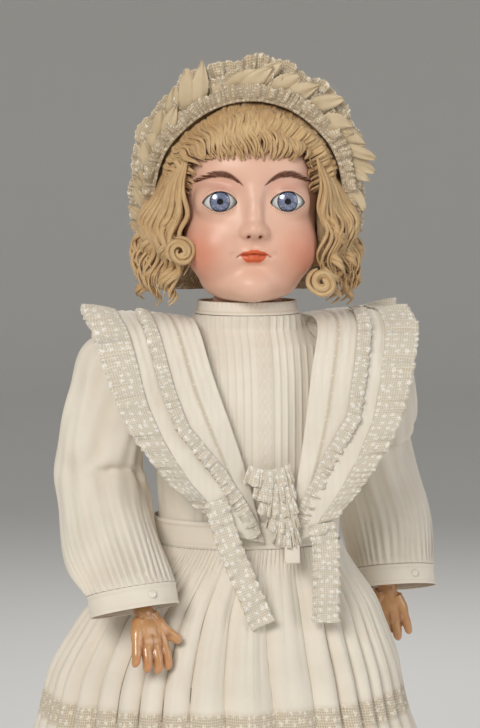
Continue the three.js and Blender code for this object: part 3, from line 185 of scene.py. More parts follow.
# Soft raised and hollow places of the face: x, z, half width, half height, how far out
face_touches = (
    (0, 16, 9, 7, 1.0), (0, 27.2, 7, 2.4, -1.3), (0, 40.6, 1.7, 3.2, -0.7),
    (10, 67, 4.5, 8, -1.6), (20, 77.4, 12, 2.6, -0.9), (12.2, 34.2, 1.8, 1.8, -0.8),
    (3.3, 36.1, 3.7, 1.7, 1.8), (0, 35.7, 2.4, 1.5, 0.8), (2.3, 31.7, 4.0, 2.2, 2.0),
    (3.5, 45.2, 1.5, 1.0, -1.5), (9.5, 43.5, 2.5, 5, -0.5), (21, 58, 10, 2.2, -0.5),
)


def ellipsoid_distance(points, centre, half):
    scaled = np.sqrt((((points - centre) / half) ** 2).sum(axis=1))
    return (scaled - 1) * min(half)


def clay_union(distances, blend):
    return -np.log(sum(np.exp(-np.clip(d, -60, 60) / blend) for d in distances)) * blend


def plain_head_distance(points):
    return clay_union([ellipsoid_distance(points, c, r) for c, r in head_lumps], clay_blend)


def mouth_height(x):
    return 34.2 + 0.25 * np.cos(x * 0.9) - 0.012 * x * x


def sculpted_head_distance(points):
    base = plain_head_distance(points)
    nose = clay_union([ellipsoid_distance(points, c, r) for c, r in nose_lumps], 1.7)
    lids = clay_union([np.linalg.norm(points - eye_spot * (side, 1, 1), axis=1) - eye_radius - 1.5
                       for side in (-1, 1)], 0.8)
    neck = np.maximum(np.hypot(points[:, 0], points[:, 1]) - 19.6, np.abs(points[:, 2] - 12) - 12)
    neck_ball = np.linalg.norm(points, axis=1) - 21
    body = clay_union([base, nose, lids, neck, neck_ball], 1.3)
    x, y, z = points.T
    front = 1 / (1 + np.exp((y + 30) / 2))
    lift = np.zeros(len(points))
    for spot, height, half_width, half_height, out in face_touches:
        for side in ((-1, 1) if spot else (1,)):
            lift += out * np.exp(-((x - side * spot) / half_width) ** 2 - ((z - height) / half_height) ** 2)
    window = 1 / (1 + np.exp((np.abs(x) - 10.4) / 0.5))
    lift -= 1.5 * np.exp(-((z - mouth_height(x)) / 0.62) ** 2) * window
    return body - lift * front


def ray_reach(distance, origin, rays, near, far, halvings, inset=0.0):
    """How far along each ray the surface lies, found by halving the stretch between near and far."""
    near, far = np.full(len(rays), near), np.full(len(rays), far)
    for _ in range(halvings):
        middle = (near + far) / 2
        inside = distance(origin + rays * middle[:, None]) < -inset
        near = np.where(inside, middle, near)
        far = np.where(inside, far, middle)
    return near[:, None]


def ball_faces(around, rows):
    """Faces between rings of points, and fans to the lowest and highest points, which come last."""
    low, high = rows * around, rows * around + 1
    faces = []
    for s in range(around):
        t = (s + 1) % around
        faces.append((low, t, s))
        faces.append((high, (rows - 1) * around + s, (rows - 1) * around + t))
        faces.extend((r * around + s, r * around + t, (r + 1) * around + t, (r + 1) * around + s)
                     for r in range(rows - 1))
    return faces


def head_skin(distance, around, down, inset=0.0):
    """Rings of points where rays from inside the head leave it, closer together on the face."""
    a, tilt = np.meshgrid(2 * np.pi * np.arange(around) / around, np.pi * np.arange(1, down) / down)
    turn = a - 0.5 * np.sin(a) - np.pi / 2
    rays = np.stack((np.cos(turn) * np.sin(tilt), np.sin(turn) * np.sin(tilt), -np.cos(tilt)),
                    -1).reshape(-1, 3)
    rays = np.vstack((rays, (0, 0, -1), (0, 0, 1)))
    points = head_heart + rays * ray_reach(distance, head_heart, rays, 0.0, 100.0, 18, inset)
    return points, ball_faces(around, down - 1)


def placed_mesh(name, points_mm, faces, place=None):
    """A mesh from points in millimetres, put where it belongs on the doll, in metres."""
    mesh = bpy.data.meshes.new(name)
    mesh.from_pydata([tuple(p) for p in np.asarray(points_mm) / 1000], [], [tuple(f) for f in faces])
    if place is not None:
        mesh.transform(place)
    mesh.update()
    return mesh


def settle(piece, body, slot, *replaces):
    """Ties a piece to its body and hides the solids it stands for; the slot is not used."""
    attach(piece, body)
    if replaces:
        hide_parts(*replaces)


def new_piece(name, mesh, material=None, body=None, slot=None, replaces=(), smooth=True):
    piece = bpy.data.objects.new(name, mesh)
    bpy.context.scene.collection.objects.link(piece)
    if material:
        mesh.materials.clear()
        mesh.materials.append(material)
    if smooth:
        mesh.shade_smooth()
    if body:
        settle(piece, body, slot, *replaces)
    return piece


def turned_mesh(name, profile, around, place=None, centre=(0, 0, 0)):
    """A solid of revolution about Z from radius and height pairs that start and end on the axis."""
    points = []
    for r, z in profile[1:-1]:
        points.extend((centre[0] + r * math.cos(2 * math.pi * i / around),
                       centre[1] + r * math.sin(2 * math.pi * i / around),
                       centre[2] + z) for i in range(around))
    points.append((centre[0], centre[1], centre[2] + profile[0][1]))
    points.append((centre[0], centre[1], centre[2] + profile[-1][1]))
    return placed_mesh(name, points, ball_faces(around, len(profile) - 2), place)


def round_mesh(name, centre, radius, around=48, down=32, place=None):
    profile = [(radius * math.sin(math.pi * i / down), -radius * math.cos(math.pi * i / down))
               for i in range(down + 1)]
    return turned_mesh(name, profile, around, place, centre)


def cut(piece, cutter_mesh, operation="DIFFERENCE"):
    """Cuts or keeps part of a piece with a closed mesh, then throws the cutter away."""
    cutter = bpy.data.objects.new("cutter", cutter_mesh)
    bpy.context.scene.collection.objects.link(cutter)
    step = piece.modifiers.new("cut", "BOOLEAN")
    step.operation = operation
    step.solver = "MANIFOLD"
    step.object = cutter
    made = bpy.data.meshes.new_from_object(piece.evaluated_get(bpy.context.evaluated_depsgraph_get()))
    piece.modifiers.clear()
    old = piece.data
    piece.data = made
    bpy.data.meshes.remove(old)
    bpy.data.objects.remove(cutter)
    bpy.data.meshes.remove(cutter_mesh)


def block_mesh(name, low, high, place=None):
    points = [(x, y, z) for z in (low[2], high[2]) for y in (low[1], high[1]) for x in (low[0], high[0])]
    faces = ((0, 2, 3, 1), (4, 5, 7, 6), (0, 1, 5, 4), (1, 3, 7, 5), (3, 2, 6, 7), (2, 0, 4, 6))
    return placed_mesh(name, points, faces, place)


lid_half_width = 10.2
lid_corner_drop = 0.7


def lid_heights(x):
    """Heights of the lower and the upper lid at x, which runs from -1 to 1 between the corners."""
    arch = max(0.0, 1 - x * x)
    return -lid_corner_drop - 5.1 * arch ** 0.85, -lid_corner_drop + 6.7 * arch ** 0.72


def lid_edge(count=28):
    """The almond line of the lids round an eye's middle, as x and z, from corner to corner and back."""
    line = []
    for lid, way in ((0, -1), (1, 1)):
        for i in range(count):
            x = way * math.cos(math.pi * i / count)
            line.append((lid_half_width * x, lid_heights(x)[lid]))
    return line


def almond_cutter(side):
    line = lid_edge()
    spots = [(eye_spot[0] * side + x, y, eye_spot[2] + z) for y in (-80, eye_spot[1]) for x, z in line]
    n = len(line)
    faces = [tuple(range(n)), tuple(range(2 * n - 1, n - 1, -1))]
    faces += [(i, n + i, n + (i + 1) % n, (i + 1) % n) for i in range(n)]
    return placed_mesh("almond", spots, faces, head_place)


skin_points, skin_faces = head_skin(sculpted_head_distance, 288, 200)
bisque_head = new_piece("painted_bisque_head",
                        placed_mesh("painted_bisque_head", skin_points, skin_faces, head_place))
inner_points, inner_faces = head_skin(plain_head_distance, 48, 32, bisque_wall)
cut(bisque_head, placed_mesh("skull_hollow", inner_points, inner_faces, head_place))
crown_place = head_place @ Matrix.Translation((0, 0.006, 0.104)) @ Matrix.Rotation(math.radians(-18), 4, "X")
cut(bisque_head, block_mesh("crown_cut", (-100, -100, 0), (100, 100, 100), crown_place))
cut(bisque_head, round_mesh("neck_hollow", (0, 0, 0), 17, 40, 28, head_place))
cut(bisque_head, turned_mesh("neck_bore", ((0, -2), (13, -2), (13, 38), (0, 38)), 40, head_place))
cut(bisque_head, turned_mesh("hook_hole", ((0, -30), (6, -30), (6, 10), (0, 10)), 24, head_place))
for side in (-1, 1):
    cut(bisque_head, almond_cutter(side))
    cut(bisque_head, round_mesh("eye_seat", tuple(eye_spot * (side, 1, 1)), eye_radius + 0.5, 56, 36,
                                head_place))
bisque_head.data.shade_smooth()


def srgb(red, green, blue):
    """A colour named as it looks on a screen, from 0 to 255, as the linear values a shader takes."""
    return tuple(((c / 255 + 0.055) / 1.055) ** 2.4 if c > 10 else c / 255 / 12.92
                 for c in (red, green, blue)) + (1,)


def grain_group():
    """Mottling that all finishes share: a colour that drifts a little, and a fine height for bumps."""
    group = bpy.data.node_groups.new("surface_grain", "ShaderNodeTree")
    face = group.interface
    for name, way, kind in (("Colour", "INPUT", "Color"), ("Second Colour", "INPUT", "Color"),
                            ("Patch Scale", "INPUT", "Float"), ("Grain Scale", "INPUT", "Float"),
                            ("Stretch", "INPUT", "Vector"), ("Colour", "OUTPUT", "Color"),
                            ("Height", "OUTPUT", "Float")):
        face.new_socket(name=name, in_out=way, socket_type="NodeSocket" + kind)
    nodes, links = group.nodes, group.links
    given = nodes.new("NodeGroupInput")
    out = nodes.new("NodeGroupOutput")
    spot = nodes.new("ShaderNodeTexCoord")
    stretched = nodes.new("ShaderNodeVectorMath")
    stretched.operation = "MULTIPLY"
    links.new(spot.outputs["Object"], stretched.inputs[0])
    links.new(given.outputs["Stretch"], stretched.inputs[1])
    patches = nodes.new("ShaderNodeTexNoise")
    patches.inputs["Detail"].default_value = 4
    links.new(stretched.outputs[0], patches.inputs["Vector"])
    links.new(given.outputs["Patch Scale"], patches.inputs["Scale"])
    grains = nodes.new("ShaderNodeTexNoise")
    grains.inputs["Detail"].default_value = 5
    grains.inputs["Roughness"].default_value = 0.65
    links.new(stretched.outputs[0], grains.inputs["Vector"])
    links.new(given.outputs["Grain Scale"], grains.inputs["Scale"])
    spread = nodes.new("ShaderNodeMapRange")
    spread.inputs["From Min"].default_value = 0.3
    spread.inputs["From Max"].default_value = 0.7
    links.new(patches.outputs["Fac"], spread.inputs["Value"])
    mixed = nodes.new("ShaderNodeMix")
    mixed.data_type = "RGBA"
    links.new(spread.outputs["Result"], mixed.inputs["Factor"])
    links.new(given.outputs["Colour"], mixed.inputs[6])
    links.new(given.outputs["Second Colour"], mixed.inputs[7])
    links.new(mixed.outputs[2], out.inputs["Colour"])
    links.new(grains.outputs["Fac"], out.inputs["Height"])
    return group


surface_grain = grain_group()


class Finish:
    """A Principled material with the shared grain in it, to which paint layers are added."""

    def __init__(self, name, colour, second, patch=60, grain=900, stretch=(1, 1, 1), roughness=0.6, bump=0.1,
                 bump_depth=0.0002, metallic=0.0):
        self.material = bpy.data.materials.new(name)
        self.material.use_nodes = True
        self.nodes = self.material.node_tree.nodes
        self.links = self.material.node_tree.links
        self.shader = self.nodes["Principled BSDF"]
        self.grain = self.nodes.new("ShaderNodeGroup")
        self.grain.node_tree = surface_grain
        for socket, value in (("Colour", colour), ("Second Colour", second), ("Patch Scale", patch),
                              ("Grain Scale", grain), ("Stretch", stretch)):
            self.grain.inputs[socket].default_value = value
        self.shader.inputs["Roughness"].default_value = roughness
        self.shader.inputs["Metallic"].default_value = metallic
        self.bump = self.nodes.new("ShaderNodeBump")
        self.bump.inputs["Strength"].default_value = bump
        self.bump.inputs["Distance"].default_value = bump_depth
        self.links.new(self.grain.outputs["Height"], self.bump.inputs["Height"])
        self.links.new(self.bump.outputs["Normal"], self.shader.inputs["Normal"])
        self.colour = self.grain.outputs["Colour"]
        self.links.new(self.colour, self.shader.inputs["Base Color"])

    def math(self, operation, first, second=None):
        node = self.nodes.new("ShaderNodeMath")
        node.operation = operation
        for i, value in enumerate((first, second)):
            if value is None:
                continue
            if isinstance(value, (int, float)):
                node.inputs[i].default_value = value
            else:
                self.links.new(value, node.inputs[i])
        return node.outputs[0]

    def attribute(self, name, output="Fac"):
        node = self.nodes.new("ShaderNodeAttribute")
        node.attribute_name = name
        return node.outputs[output]

    def ramp(self, value, low, high):
        """0 below low and 1 above high."""
        node = self.nodes.new("ShaderNodeMapRange")
        node.interpolation_type = "SMOOTHSTEP"
        node.inputs["From Min"].default_value = low
        node.inputs["From Max"].default_value = high
        self.links.new(value, node.inputs["Value"])
        return node.outputs["Result"]

    def noise(self, along, scale, detail, roughness=0.5):
        """Noise over the UV map, drawn out in its second direction."""
        spread = self.nodes.new("ShaderNodeMapping")
        spread.inputs["Scale"].default_value = (1.0, along, 1.0)
        self.links.new(self.attribute("UVMap", "Vector"), spread.inputs["Vector"])
        noise = self.nodes.new("ShaderNodeTexNoise")
        for socket, value in (("Scale", scale), ("Detail", detail), ("Roughness", roughness)):
            noise.inputs[socket].default_value = value
        self.links.new(spread.outputs[0], noise.inputs["Vector"])
        return noise.outputs["Fac"]

    def paint(self, colour, mask, share=None):
        """Lays a colour over what is there, where the mask says, at most as strongly as share."""
        if share is not None:
            mask = self.math("MULTIPLY", mask, share)
        node = self.nodes.new("ShaderNodeMix")
        node.data_type = "RGBA"
        self.links.new(mask, node.inputs["Factor"])
        self.links.new(self.colour, node.inputs[6])
        if isinstance(colour, tuple):
            node.inputs[7].default_value = colour
        else:
            self.links.new(colour, node.inputs[7])
        self.colour = node.outputs[2]
        self.links.new(self.colour, self.shader.inputs["Base Color"])

    def set(self, **values):
        for name, value in values.items():
            self.shader.inputs[name.replace("_", " ")].default_value = value
        return self

    def bump_from(self, height):
        self.links.new(height, self.bump.inputs["Height"])


def one_material(mesh, material):
    mesh.materials.clear()
    mesh.materials.append(material)
    mesh.polygons.foreach_set("material_index", [0] * len(mesh.polygons))


def keep_node(node, finish):
    """A node of the frame whose shape is right keeps it and gets its finish."""
    part = frame["nodes"][node]
    part.data.materials.clear()
    part.data.materials.append(finish.material)


bisque = Finish("tinted_bisque", srgb(232, 190, 168), srgb(226, 180, 157), patch=22, grain=2600,
                roughness=0.43, bump=0.06)
bisque.set(Subsurface_Weight=0.12, Subsurface_Scale=0.004, Subsurface_Radius=(1.0, 0.45, 0.3))
bisque.set(Coat_Weight=0.05, Coat_Roughness=0.3)
bisque.paint(srgb(206, 114, 82), bisque.attribute("cheek"), 0.66)
bisque.paint(srgb(198, 128, 118), bisque.attribute("lid_flush"), 0.42)
bisque.paint(srgb(118, 68, 40), bisque.ramp(bisque.attribute("brow"), -0.5, 0.9), 0.85)
bisque.paint(srgb(214, 98, 56), bisque.ramp(bisque.attribute("lips"), -0.22, 0.3))
bisque.paint(srgb(128, 36, 22), bisque.ramp(bisque.attribute("mouth_line"), 0.0, 1.0))
bisque.paint(srgb(160, 62, 46), bisque.ramp(bisque.attribute("nostril"), 0.15, 0.9))
bisque.paint(srgb(46, 30, 26), bisque.ramp(bisque.attribute("lid_line"), 0.2, 0.75))
one_material(bisque_head.data, bisque.material)


def local_points(mesh, place):
    points = np.empty(len(mesh.vertices) * 3)
    mesh.vertices.foreach_get("co", points)
    back = np.array(place.inverted())
    return (points.reshape(-1, 3) @ back[:3, :3].T + back[:3, 3]) * 1000


def set_attribute(mesh, name, values):
    layer = mesh.attributes.new(name, "FLOAT", "POINT")
    layer.data.foreach_set("value", np.asarray(values, dtype=np.float32))


def brow_line(x):
    u = np.clip((x - 6.2) / 28.5, 0, 1)
    return (75.4 + 6.4 * np.sin(np.pi * u ** 0.9) + 1.4 * u,
            2.15 * np.sin(np.pi * np.clip(u, 0.04, 0.97) ** 0.85) ** 0.8)


points = local_points(bisque_head.data, head_place)
x, y, z = points.T
wide = np.abs(x)
front = 1 / (1 + np.exp((y + 22) / 2.5))
mouth = mouth_height(x)
upper = mouth + 3.3 * np.clip(1 - (wide / 10.6) ** 1.7, 0, 1) - 0.75 * np.exp(-(x / 1.3) ** 2)
lower = mouth - 5.0 * np.clip(1 - (wide / 7.6) ** 2.2, 0, 1) ** 0.55
line = np.array(lid_edge(120))
rim = np.min(np.hypot(wide[:, None] - eye_spot[0] - line[None, ::2, 0],
                      z[:, None] - eye_spot[2] - line[None, ::2, 1]), axis=1)
brow_height, brow_half = brow_line(wide)
near_lips = y < -40
for label, values in {
        "cheek": front * np.exp(-((wide - 31) / 13) ** 2 - ((z - 34) / 18) ** 2),
        "lid_flush": front * np.exp(-((wide - 19) / 13) ** 2 - ((z - 75) / 4.5) ** 2),
        "brow": np.where((wide > 6) & (wide < 35.5) & (y < -5), brow_half - np.abs(z - brow_height), -5),
        "lips": np.where((wide < 10.8) & near_lips, np.minimum(upper - z, z - lower), -5),
        "mouth_line": np.where((wide < 11.2) & near_lips, 1 - np.abs(z - mouth) / 0.42, 0),
        "nostril": np.where(near_lips, np.exp(-((wide - 3.5) / 1.25) ** 2 - ((z - 45.3) / 0.8) ** 2), 0),
        "lid_line": np.where(y < -20, np.clip(1 - rim / 0.75, 0, 1), 0)}.items():
    set_attribute(bisque_head.data, label, values)
settle(bisque_head, "head", "bisque", "bisque_head")


def on_face(xs, zs):
    """The face's surface in front of points given by x and z."""
    behind = np.stack((xs, np.zeros(len(xs)), zs), -1)
    rays = np.tile((0.0, -1.0, 0.0), (len(xs), 1))
    return behind + rays * ray_reach(sculpted_head_distance, behind, rays, 5.0, 75.0, 16)


def stroke_mesh(name, lines, widths, height=0.05):
    """Brush strokes: each line of points on the face becomes a thin raised sliver, sharp at its ends."""
    all_points, faces = [], []
    for line, width in zip(lines, widths):
        line = np.asarray(line)
        spots = on_face(line[:, 0], line[:, 1])
        base = len(all_points)
        count = len(spots)
        for i, spot in enumerate(spots):
            run = spots[min(i + 1, count - 1)] - spots[max(i - 1, 0)]
            across = np.cross(run, (0, -1, 0))
            across /= np.linalg.norm(across) + 1e-9
            half = width * max(0.12, math.sin(math.pi * (0.12 + 0.85 * i / (count - 1))))
            all_points += [spot - across * half, spot + np.array((0, -height, 0)), spot + across * half]
        for i in range(count - 1):
            a, b = base + 3 * i, base + 3 * i + 3
            faces += [(a, b, b + 1, a + 1), (a + 1, b + 1, b + 2, a + 2), (a + 2, b + 2, b, a)]
        last = base + 3 * (count - 1)
        faces += [(base, base + 1, base + 2), (last, last + 2, last + 1)]
    return placed_mesh(name, all_points, faces, head_place)


brush = random.Random(7)
strokes, widths = [], []
for side in (-1, 1):
    for n in range(150):
        u = (n + brush.random()) / 150
        x0 = 6.8 + 26.0 * u
        middle, half = brow_line(np.array([x0]))
        lean = 1.0 + 3.2 * u
        rise = 1.4 * half[0] * (1 - 0.8 * u)
        z0 = middle[0] + half[0] * brush.uniform(-1.0, 0.25 + 0.4 * u)
        strokes.append([(side * (x0 + lean * t * brush.uniform(0.95, 1.1)),
                         z0 + rise * t - 0.25 * u * t * t * 2)
                        for t in (0, 0.35, 0.7, 1)])
        widths.append(brush.uniform(0.16, 0.3))
brow_paint = Finish("brown_china_paint", srgb(112, 62, 36), srgb(88, 46, 28), patch=300, roughness=0.4)
new_piece("painted_brows", stroke_mesh("painted_brows", strokes, widths), brow_paint.material, "head",
          "bisque")
strokes, widths = [], []
for side in (-1, 1):
    for n in range(19):
        u = (n + 0.5) / 19
        x0 = lid_half_width * (2 * u - 1) * 0.97
        low, high = lid_heights(x0 / lid_half_width)
        for edge, reach, way in ((low - 0.3, 2.0, -1), (high + 1.3, 1.5, 1)):
            slant = 0.5 * (2 * u - 1) * reach + 0.35
            strokes.append([(side * (eye_spot[0] + x0 + slant * t), eye_spot[2] + edge + way * reach * t)
                            for t in (0, 0.5, 1)])
            widths.append(0.085)
lash_paint = Finish("dark_china_paint", srgb(52, 34, 28), srgb(40, 26, 22), patch=300, roughness=0.4)
new_piece("painted_lashes", stroke_mesh("painted_lashes", strokes, widths, 0.04), lash_paint.material, "head",
          "bisque")

cork = Finish("cork", srgb(176, 136, 96), srgb(120, 84, 54), patch=260, grain=900, roughness=0.9, bump=0.5)
keep_node("crown_pate", cork)
keep_node("eye_stop", cork)
plaster = Finish("plaster", srgb(232, 226, 216), srgb(214, 206, 194), patch=120, grain=700, roughness=0.95,
                 bump=0.4)
keep_node("eye_bearing", plaster)
wire = Finish("drawn_wire", srgb(150, 148, 144), srgb(112, 104, 96), patch=400, grain=1500, roughness=0.35,
              metallic=1.0)
for node in ("eye_rocker", "neck_hook", "wrist_hook_right", "wrist_hook_left"):
    keep_node(node, wire)
lead = Finish("cast_lead", srgb(112, 114, 120), srgb(84, 86, 92), patch=220, grain=500, roughness=0.6,
              metallic=0.8)
keep_node("eye_weight", lead)
beech = Finish("turned_beech", srgb(190, 146, 98), srgb(160, 116, 72), patch=80, grain=500, stretch=(1, 1, 6),
               roughness=0.55)
keep_node("neck_button", beech)


# Sleeping eyes: blown glass balls with threaded grey-blue irises under a clear glaze, the lids
# waxed on above the iris, joined to a weighted wire so that they roll shut when the doll lies down.
lid_start = 0.5
glass_eye = Finish("threaded_glass", srgb(226, 226, 222), srgb(214, 214, 212), patch=120, roughness=0.12,
                   bump=0.0)
glass_eye.set(Coat_Weight=1.0, Coat_Roughness=0.02, Coat_IOR=1.5, Specular_IOR_Level=0.5)
split = glass_eye.nodes.new("ShaderNodeSeparateXYZ")
glass_eye.links.new(glass_eye.attribute("gaze", "Vector"), split.inputs[0])
off_x, off_y, off_z = split.outputs
from_middle = glass_eye.math("SQRT", glass_eye.math("ADD", glass_eye.math("MULTIPLY", off_x, off_x),
                                                    glass_eye.math("MULTIPLY", off_z, off_z)))
threads = glass_eye.nodes.new("ShaderNodeTexNoise")
threads.inputs["Scale"].default_value = 7.5
threads.inputs["Detail"].default_value = 3
around = glass_eye.nodes.new("ShaderNodeCombineXYZ")
glass_eye.links.new(glass_eye.math("DIVIDE", off_x, from_middle), around.inputs[0])
glass_eye.links.new(glass_eye.math("DIVIDE", off_z, from_middle), around.inputs[1])
glass_eye.links.new(glass_eye.math("MULTIPLY", from_middle, 0.9), around.inputs[2])
glass_eye.links.new(around.outputs[0], threads.inputs["Vector"])
iris = glass_eye.nodes.new("ShaderNodeMix")
iris.data_type = "RGBA"
iris.inputs[6].default_value = srgb(70, 78, 104)
iris.inputs[7].default_value = srgb(142, 152, 182)
glass_eye.links.new(glass_eye.ramp(threads.outputs["Fac"], 0.3, 0.72), iris.inputs["Factor"])
in_front = glass_eye.ramp(off_y, 0.1, -0.1)
iris_size = 6.25 / eye_radius
pupil_size = 1.95 / eye_radius


def ring_mask(outer, soft):
    return glass_eye.math("MULTIPLY", glass_eye.ramp(from_middle, outer + soft, outer - soft), in_front)


glass_eye.paint(iris.outputs[2], ring_mask(iris_size, 0.012))
rim_mask = glass_eye.math("MULTIPLY", ring_mask(iris_size, 0.012),
                          glass_eye.ramp(from_middle, iris_size - 0.085, iris_size - 0.01))
glass_eye.paint(srgb(26, 28, 46), rim_mask)
glass_eye.paint(srgb(6, 6, 9), ring_mask(pupil_size, 0.018))
glass_eye.paint(srgb(222, 176, 152), glass_eye.ramp(off_z, lid_start - 0.006, lid_start + 0.006))
for side, name in ((-1, "right"), (1, "left")):
    ball = round_mesh(f"glass_eye_{name}", tuple(eye_spot * (side, 1, 1)), eye_radius, 72, 48, head_place)
    gaze = (local_points(ball, head_place) - eye_spot * (side, 1, 1)) / eye_radius
    layer = ball.attributes.new("gaze", "FLOAT_VECTOR", "POINT")
    layer.data.foreach_set("vector", gaze.astype(np.float32).ravel())
    new_piece(f"glass_eye_{name}", ball, glass_eye.material, "eyes", "eye_glass", (f"eye_{name}",))
    across = Matrix.Translation(Vector(eye_spot * (0, 1, 1)) / 1000) @ Matrix.Rotation(math.pi / 2, 4, "Y")
    pin_from, pin_to = sorted((side * 1.5, side * (eye_spot[0] - 12.6)))
    pin = turned_mesh(f"eye_pin_{name}", ((0, pin_from), (1.25, pin_from), (1.25, pin_to), (0, pin_to)), 20,
                      head_place @ across)
    new_piece(f"eye_pin_{name}", pin, wire.material, "eyes", "steel_wire", smooth=False)


# The mohair wig: a knotted cap, a waved fringe combed down over the brow, side hair, and ringlets
# wound on a finger that hang to the shoulders, with a flat pin curl at each side of the front.
hair = Finish("combed_mohair", srgb(216, 184, 136), srgb(190, 152, 104), patch=45, grain=700, roughness=0.42,
              bump=0.6, bump_depth=0.0006)
hair.set(Sheen_Weight=0.25, Sheen_Roughness=0.4, Specular_IOR_Level=0.4)
# The darker and lighter streaks along the strands give the mohair's own uneven tone and also painted shade
# and painted highlight.
strands = hair.noise(0.035, 3.4, 5.0, 0.65)
hair.paint(srgb(128, 92, 56), hair.ramp(strands, 0.5, 0.3), 0.75)
hair.paint(srgb(240, 218, 176), hair.ramp(strands, 0.52, 0.75), 0.7)
hair.bump_from(strands)


def skin_hit(origin, directions, inset=0.0):
    """Where rays from a point inside the head leave its plain skin, sunk by inset."""
    directions = directions / np.linalg.norm(directions, axis=1)[:, None]
    return origin + directions * ray_reach(plain_head_distance, origin, directions, 0.0, 110.0, 18, inset)


def set_uv(mesh, uvs):
    """UVs in millimetres, one for each point, as a corner map."""
    layer = mesh.uv_layers.new(name="UVMap")
    corners = np.empty(len(mesh.loops), dtype=np.int32)
    mesh.loops.foreach_get("vertex_index", corners)
    layer.data.foreach_set("uv", np.asarray(uvs, dtype=np.float32)[corners].ravel())


def face_outwards(mesh):
    edit = bmesh.new()
    edit.from_mesh(mesh)
    bmesh.ops.recalc_face_normals(edit, faces=edit.faces)
    edit.to_mesh(mesh)
    edit.free()


def lock_mesh(name, locks, place, sides=16, ridge=0.1):
    """Ridged tapering locks: each is a path with a half width and a half thickness for each point."""
    points, faces, uvs = [], [], []
    angles = 2 * np.pi * np.arange(sides) / sides
    for path, wide, thick, facing in locks:
        path = np.asarray(path, dtype=float)
        run = np.gradient(path, axis=0)
        run /= np.linalg.norm(run, axis=1)[:, None]
        out = np.asarray(facing, dtype=float) * np.ones_like(path)
        out -= run * np.sum(out * run, axis=1)[:, None]
        out /= np.linalg.norm(out, axis=1)[:, None] + 1e-9
        across = np.cross(run, out)
        lengths = np.concatenate(([0], np.cumsum(np.linalg.norm(np.diff(path, axis=0), axis=1))))
        ridges = 1 + ridge * np.cos(5 * angles) + 0.6 * ridge * np.cos(8 * angles + 1)
        base = len(points)
        for i in range(len(path)):
            ring = (path[i] + across[i] * (wide[i] * ridges * np.cos(angles))[:, None]
                    + out[i] * (thick[i] * ridges * np.sin(angles))[:, None])
            points.extend(ring)
            uvs.extend(np.stack((angles * wide[i] * 0.9 + 40 * base, np.full(sides, lengths[i])), -1))
        for i in range(len(path) - 1):
            a, b = base + i * sides, base + (i + 1) * sides
            faces += [(a + k, a + (k + 1) % sides, b + (k + 1) % sides, b + k) for k in range(sides)]
        last = base + (len(path) - 1) * sides
        faces += [tuple(range(base + sides - 1, base - 1, -1)), tuple(range(last, last + sides))]
    mesh = placed_mesh(name, points, faces, place)
    set_uv(mesh, uvs)
    face_outwards(mesh)
    return mesh


comb = random.Random(12)
bonnet_top = np.array((0.0, -30.0, 124.0))
bonnet_slant = math.radians(19)
bonnet_up = np.array((0, -math.sin(bonnet_slant), math.cos(bonnet_slant)))
bonnet_forward = np.array((0, -math.cos(bonnet_slant), -math.sin(bonnet_slant)))
bonnet_hub = bonnet_top - 62 * bonnet_up - 3.5 * bonnet_forward
edge_place = head_place @ Matrix.Translation((0, -0.030, 0.124)) @ Matrix.Rotation(bonnet_slant, 4, "X")


def cap_insets(around, down, depth, ripple):
    """How deep each ray of head_skin stops, with a ripple round and down the head."""
    a, tilt = np.meshgrid(2 * np.pi * np.arange(around) / around, np.pi * np.arange(1, down) / down)
    return np.append((-depth - ripple(a, tilt)).ravel(), (-depth, -depth))


def cap_piece(name, outer_depth, inner_depth, ripple, material, low, front_block):
    """A shell round the head, open below a height and in front, where front_block cuts it away."""
    points, faces = head_skin(plain_head_distance, 220, 120, cap_insets(220, 120, outer_depth, ripple))
    piece = new_piece(name, placed_mesh(name, points, faces, head_place))
    points, faces = head_skin(plain_head_distance, 72, 48, -inner_depth)
    cut(piece, placed_mesh(name + "_inside", points, faces, head_place))
    cut(piece, block_mesh("cut_block", (-150, -150, -150), (150, 150, low), head_place))
    cut(piece, block_mesh("cut_block", *front_block))
    one_material(piece.data, material)
    spots = local_points(piece.data, head_place)
    while piece.data.uv_layers:
        piece.data.uv_layers.remove(piece.data.uv_layers[0])
    set_uv(piece.data, np.stack((np.arctan2(spots[:, 0], spots[:, 2] - 60) * 55, spots[:, 1]), -1))
    piece.data.shade_smooth()
    return piece


wig_cap = cap_piece("mohair_cap", 7.2, 1.0, lambda a, t: 0.9 * np.cos(31 * a + 6 * t) * np.sin(t),
                    hair.material, 26, ((-150, -150, -150), (150, -22, 150), head_place))
settle(wig_cap, "head", "mohair", "wig_cap")


fringe_half_turn = 1.42


def fringe_lock(s, size, tip_x, tip_z, lift, wave):
    """One waved lock combed from the bonnet's edge down to the brow; s runs from side to side."""
    theta = fringe_half_turn * s
    root = bonnet_hub + 58 * (np.array((math.sin(theta), 0, 0)) + bonnet_up * math.cos(theta))
    tip = on_face([tip_x if abs(tip_x) < 39 else math.copysign(39, tip_x)], [tip_z])[0]
    steps = np.linspace(0, 1, 26)
    rays = (root - head_heart)[None] * (1 - steps[:, None]) + (tip - head_heart)[None] * steps[:, None]
    rise = lift + 2.4 * np.sin(np.pi * steps) - 3.6 * steps ** 3
    path = skin_hit(head_heart, rays, -(rise + 0.8 * np.sin(2 * np.pi * (2.3 * steps + wave))))
    path[:, 0] += 2.2 * np.sin(2 * np.pi * (1.9 * steps + wave + 0.25)) * steps ** 0.5
    swell = np.clip(np.sin(np.pi * (0.25 + 0.73 * steps)), 0.05, 1) ** 0.7
    return (path, size * swell, 0.55 * size * swell, (path - head_heart))


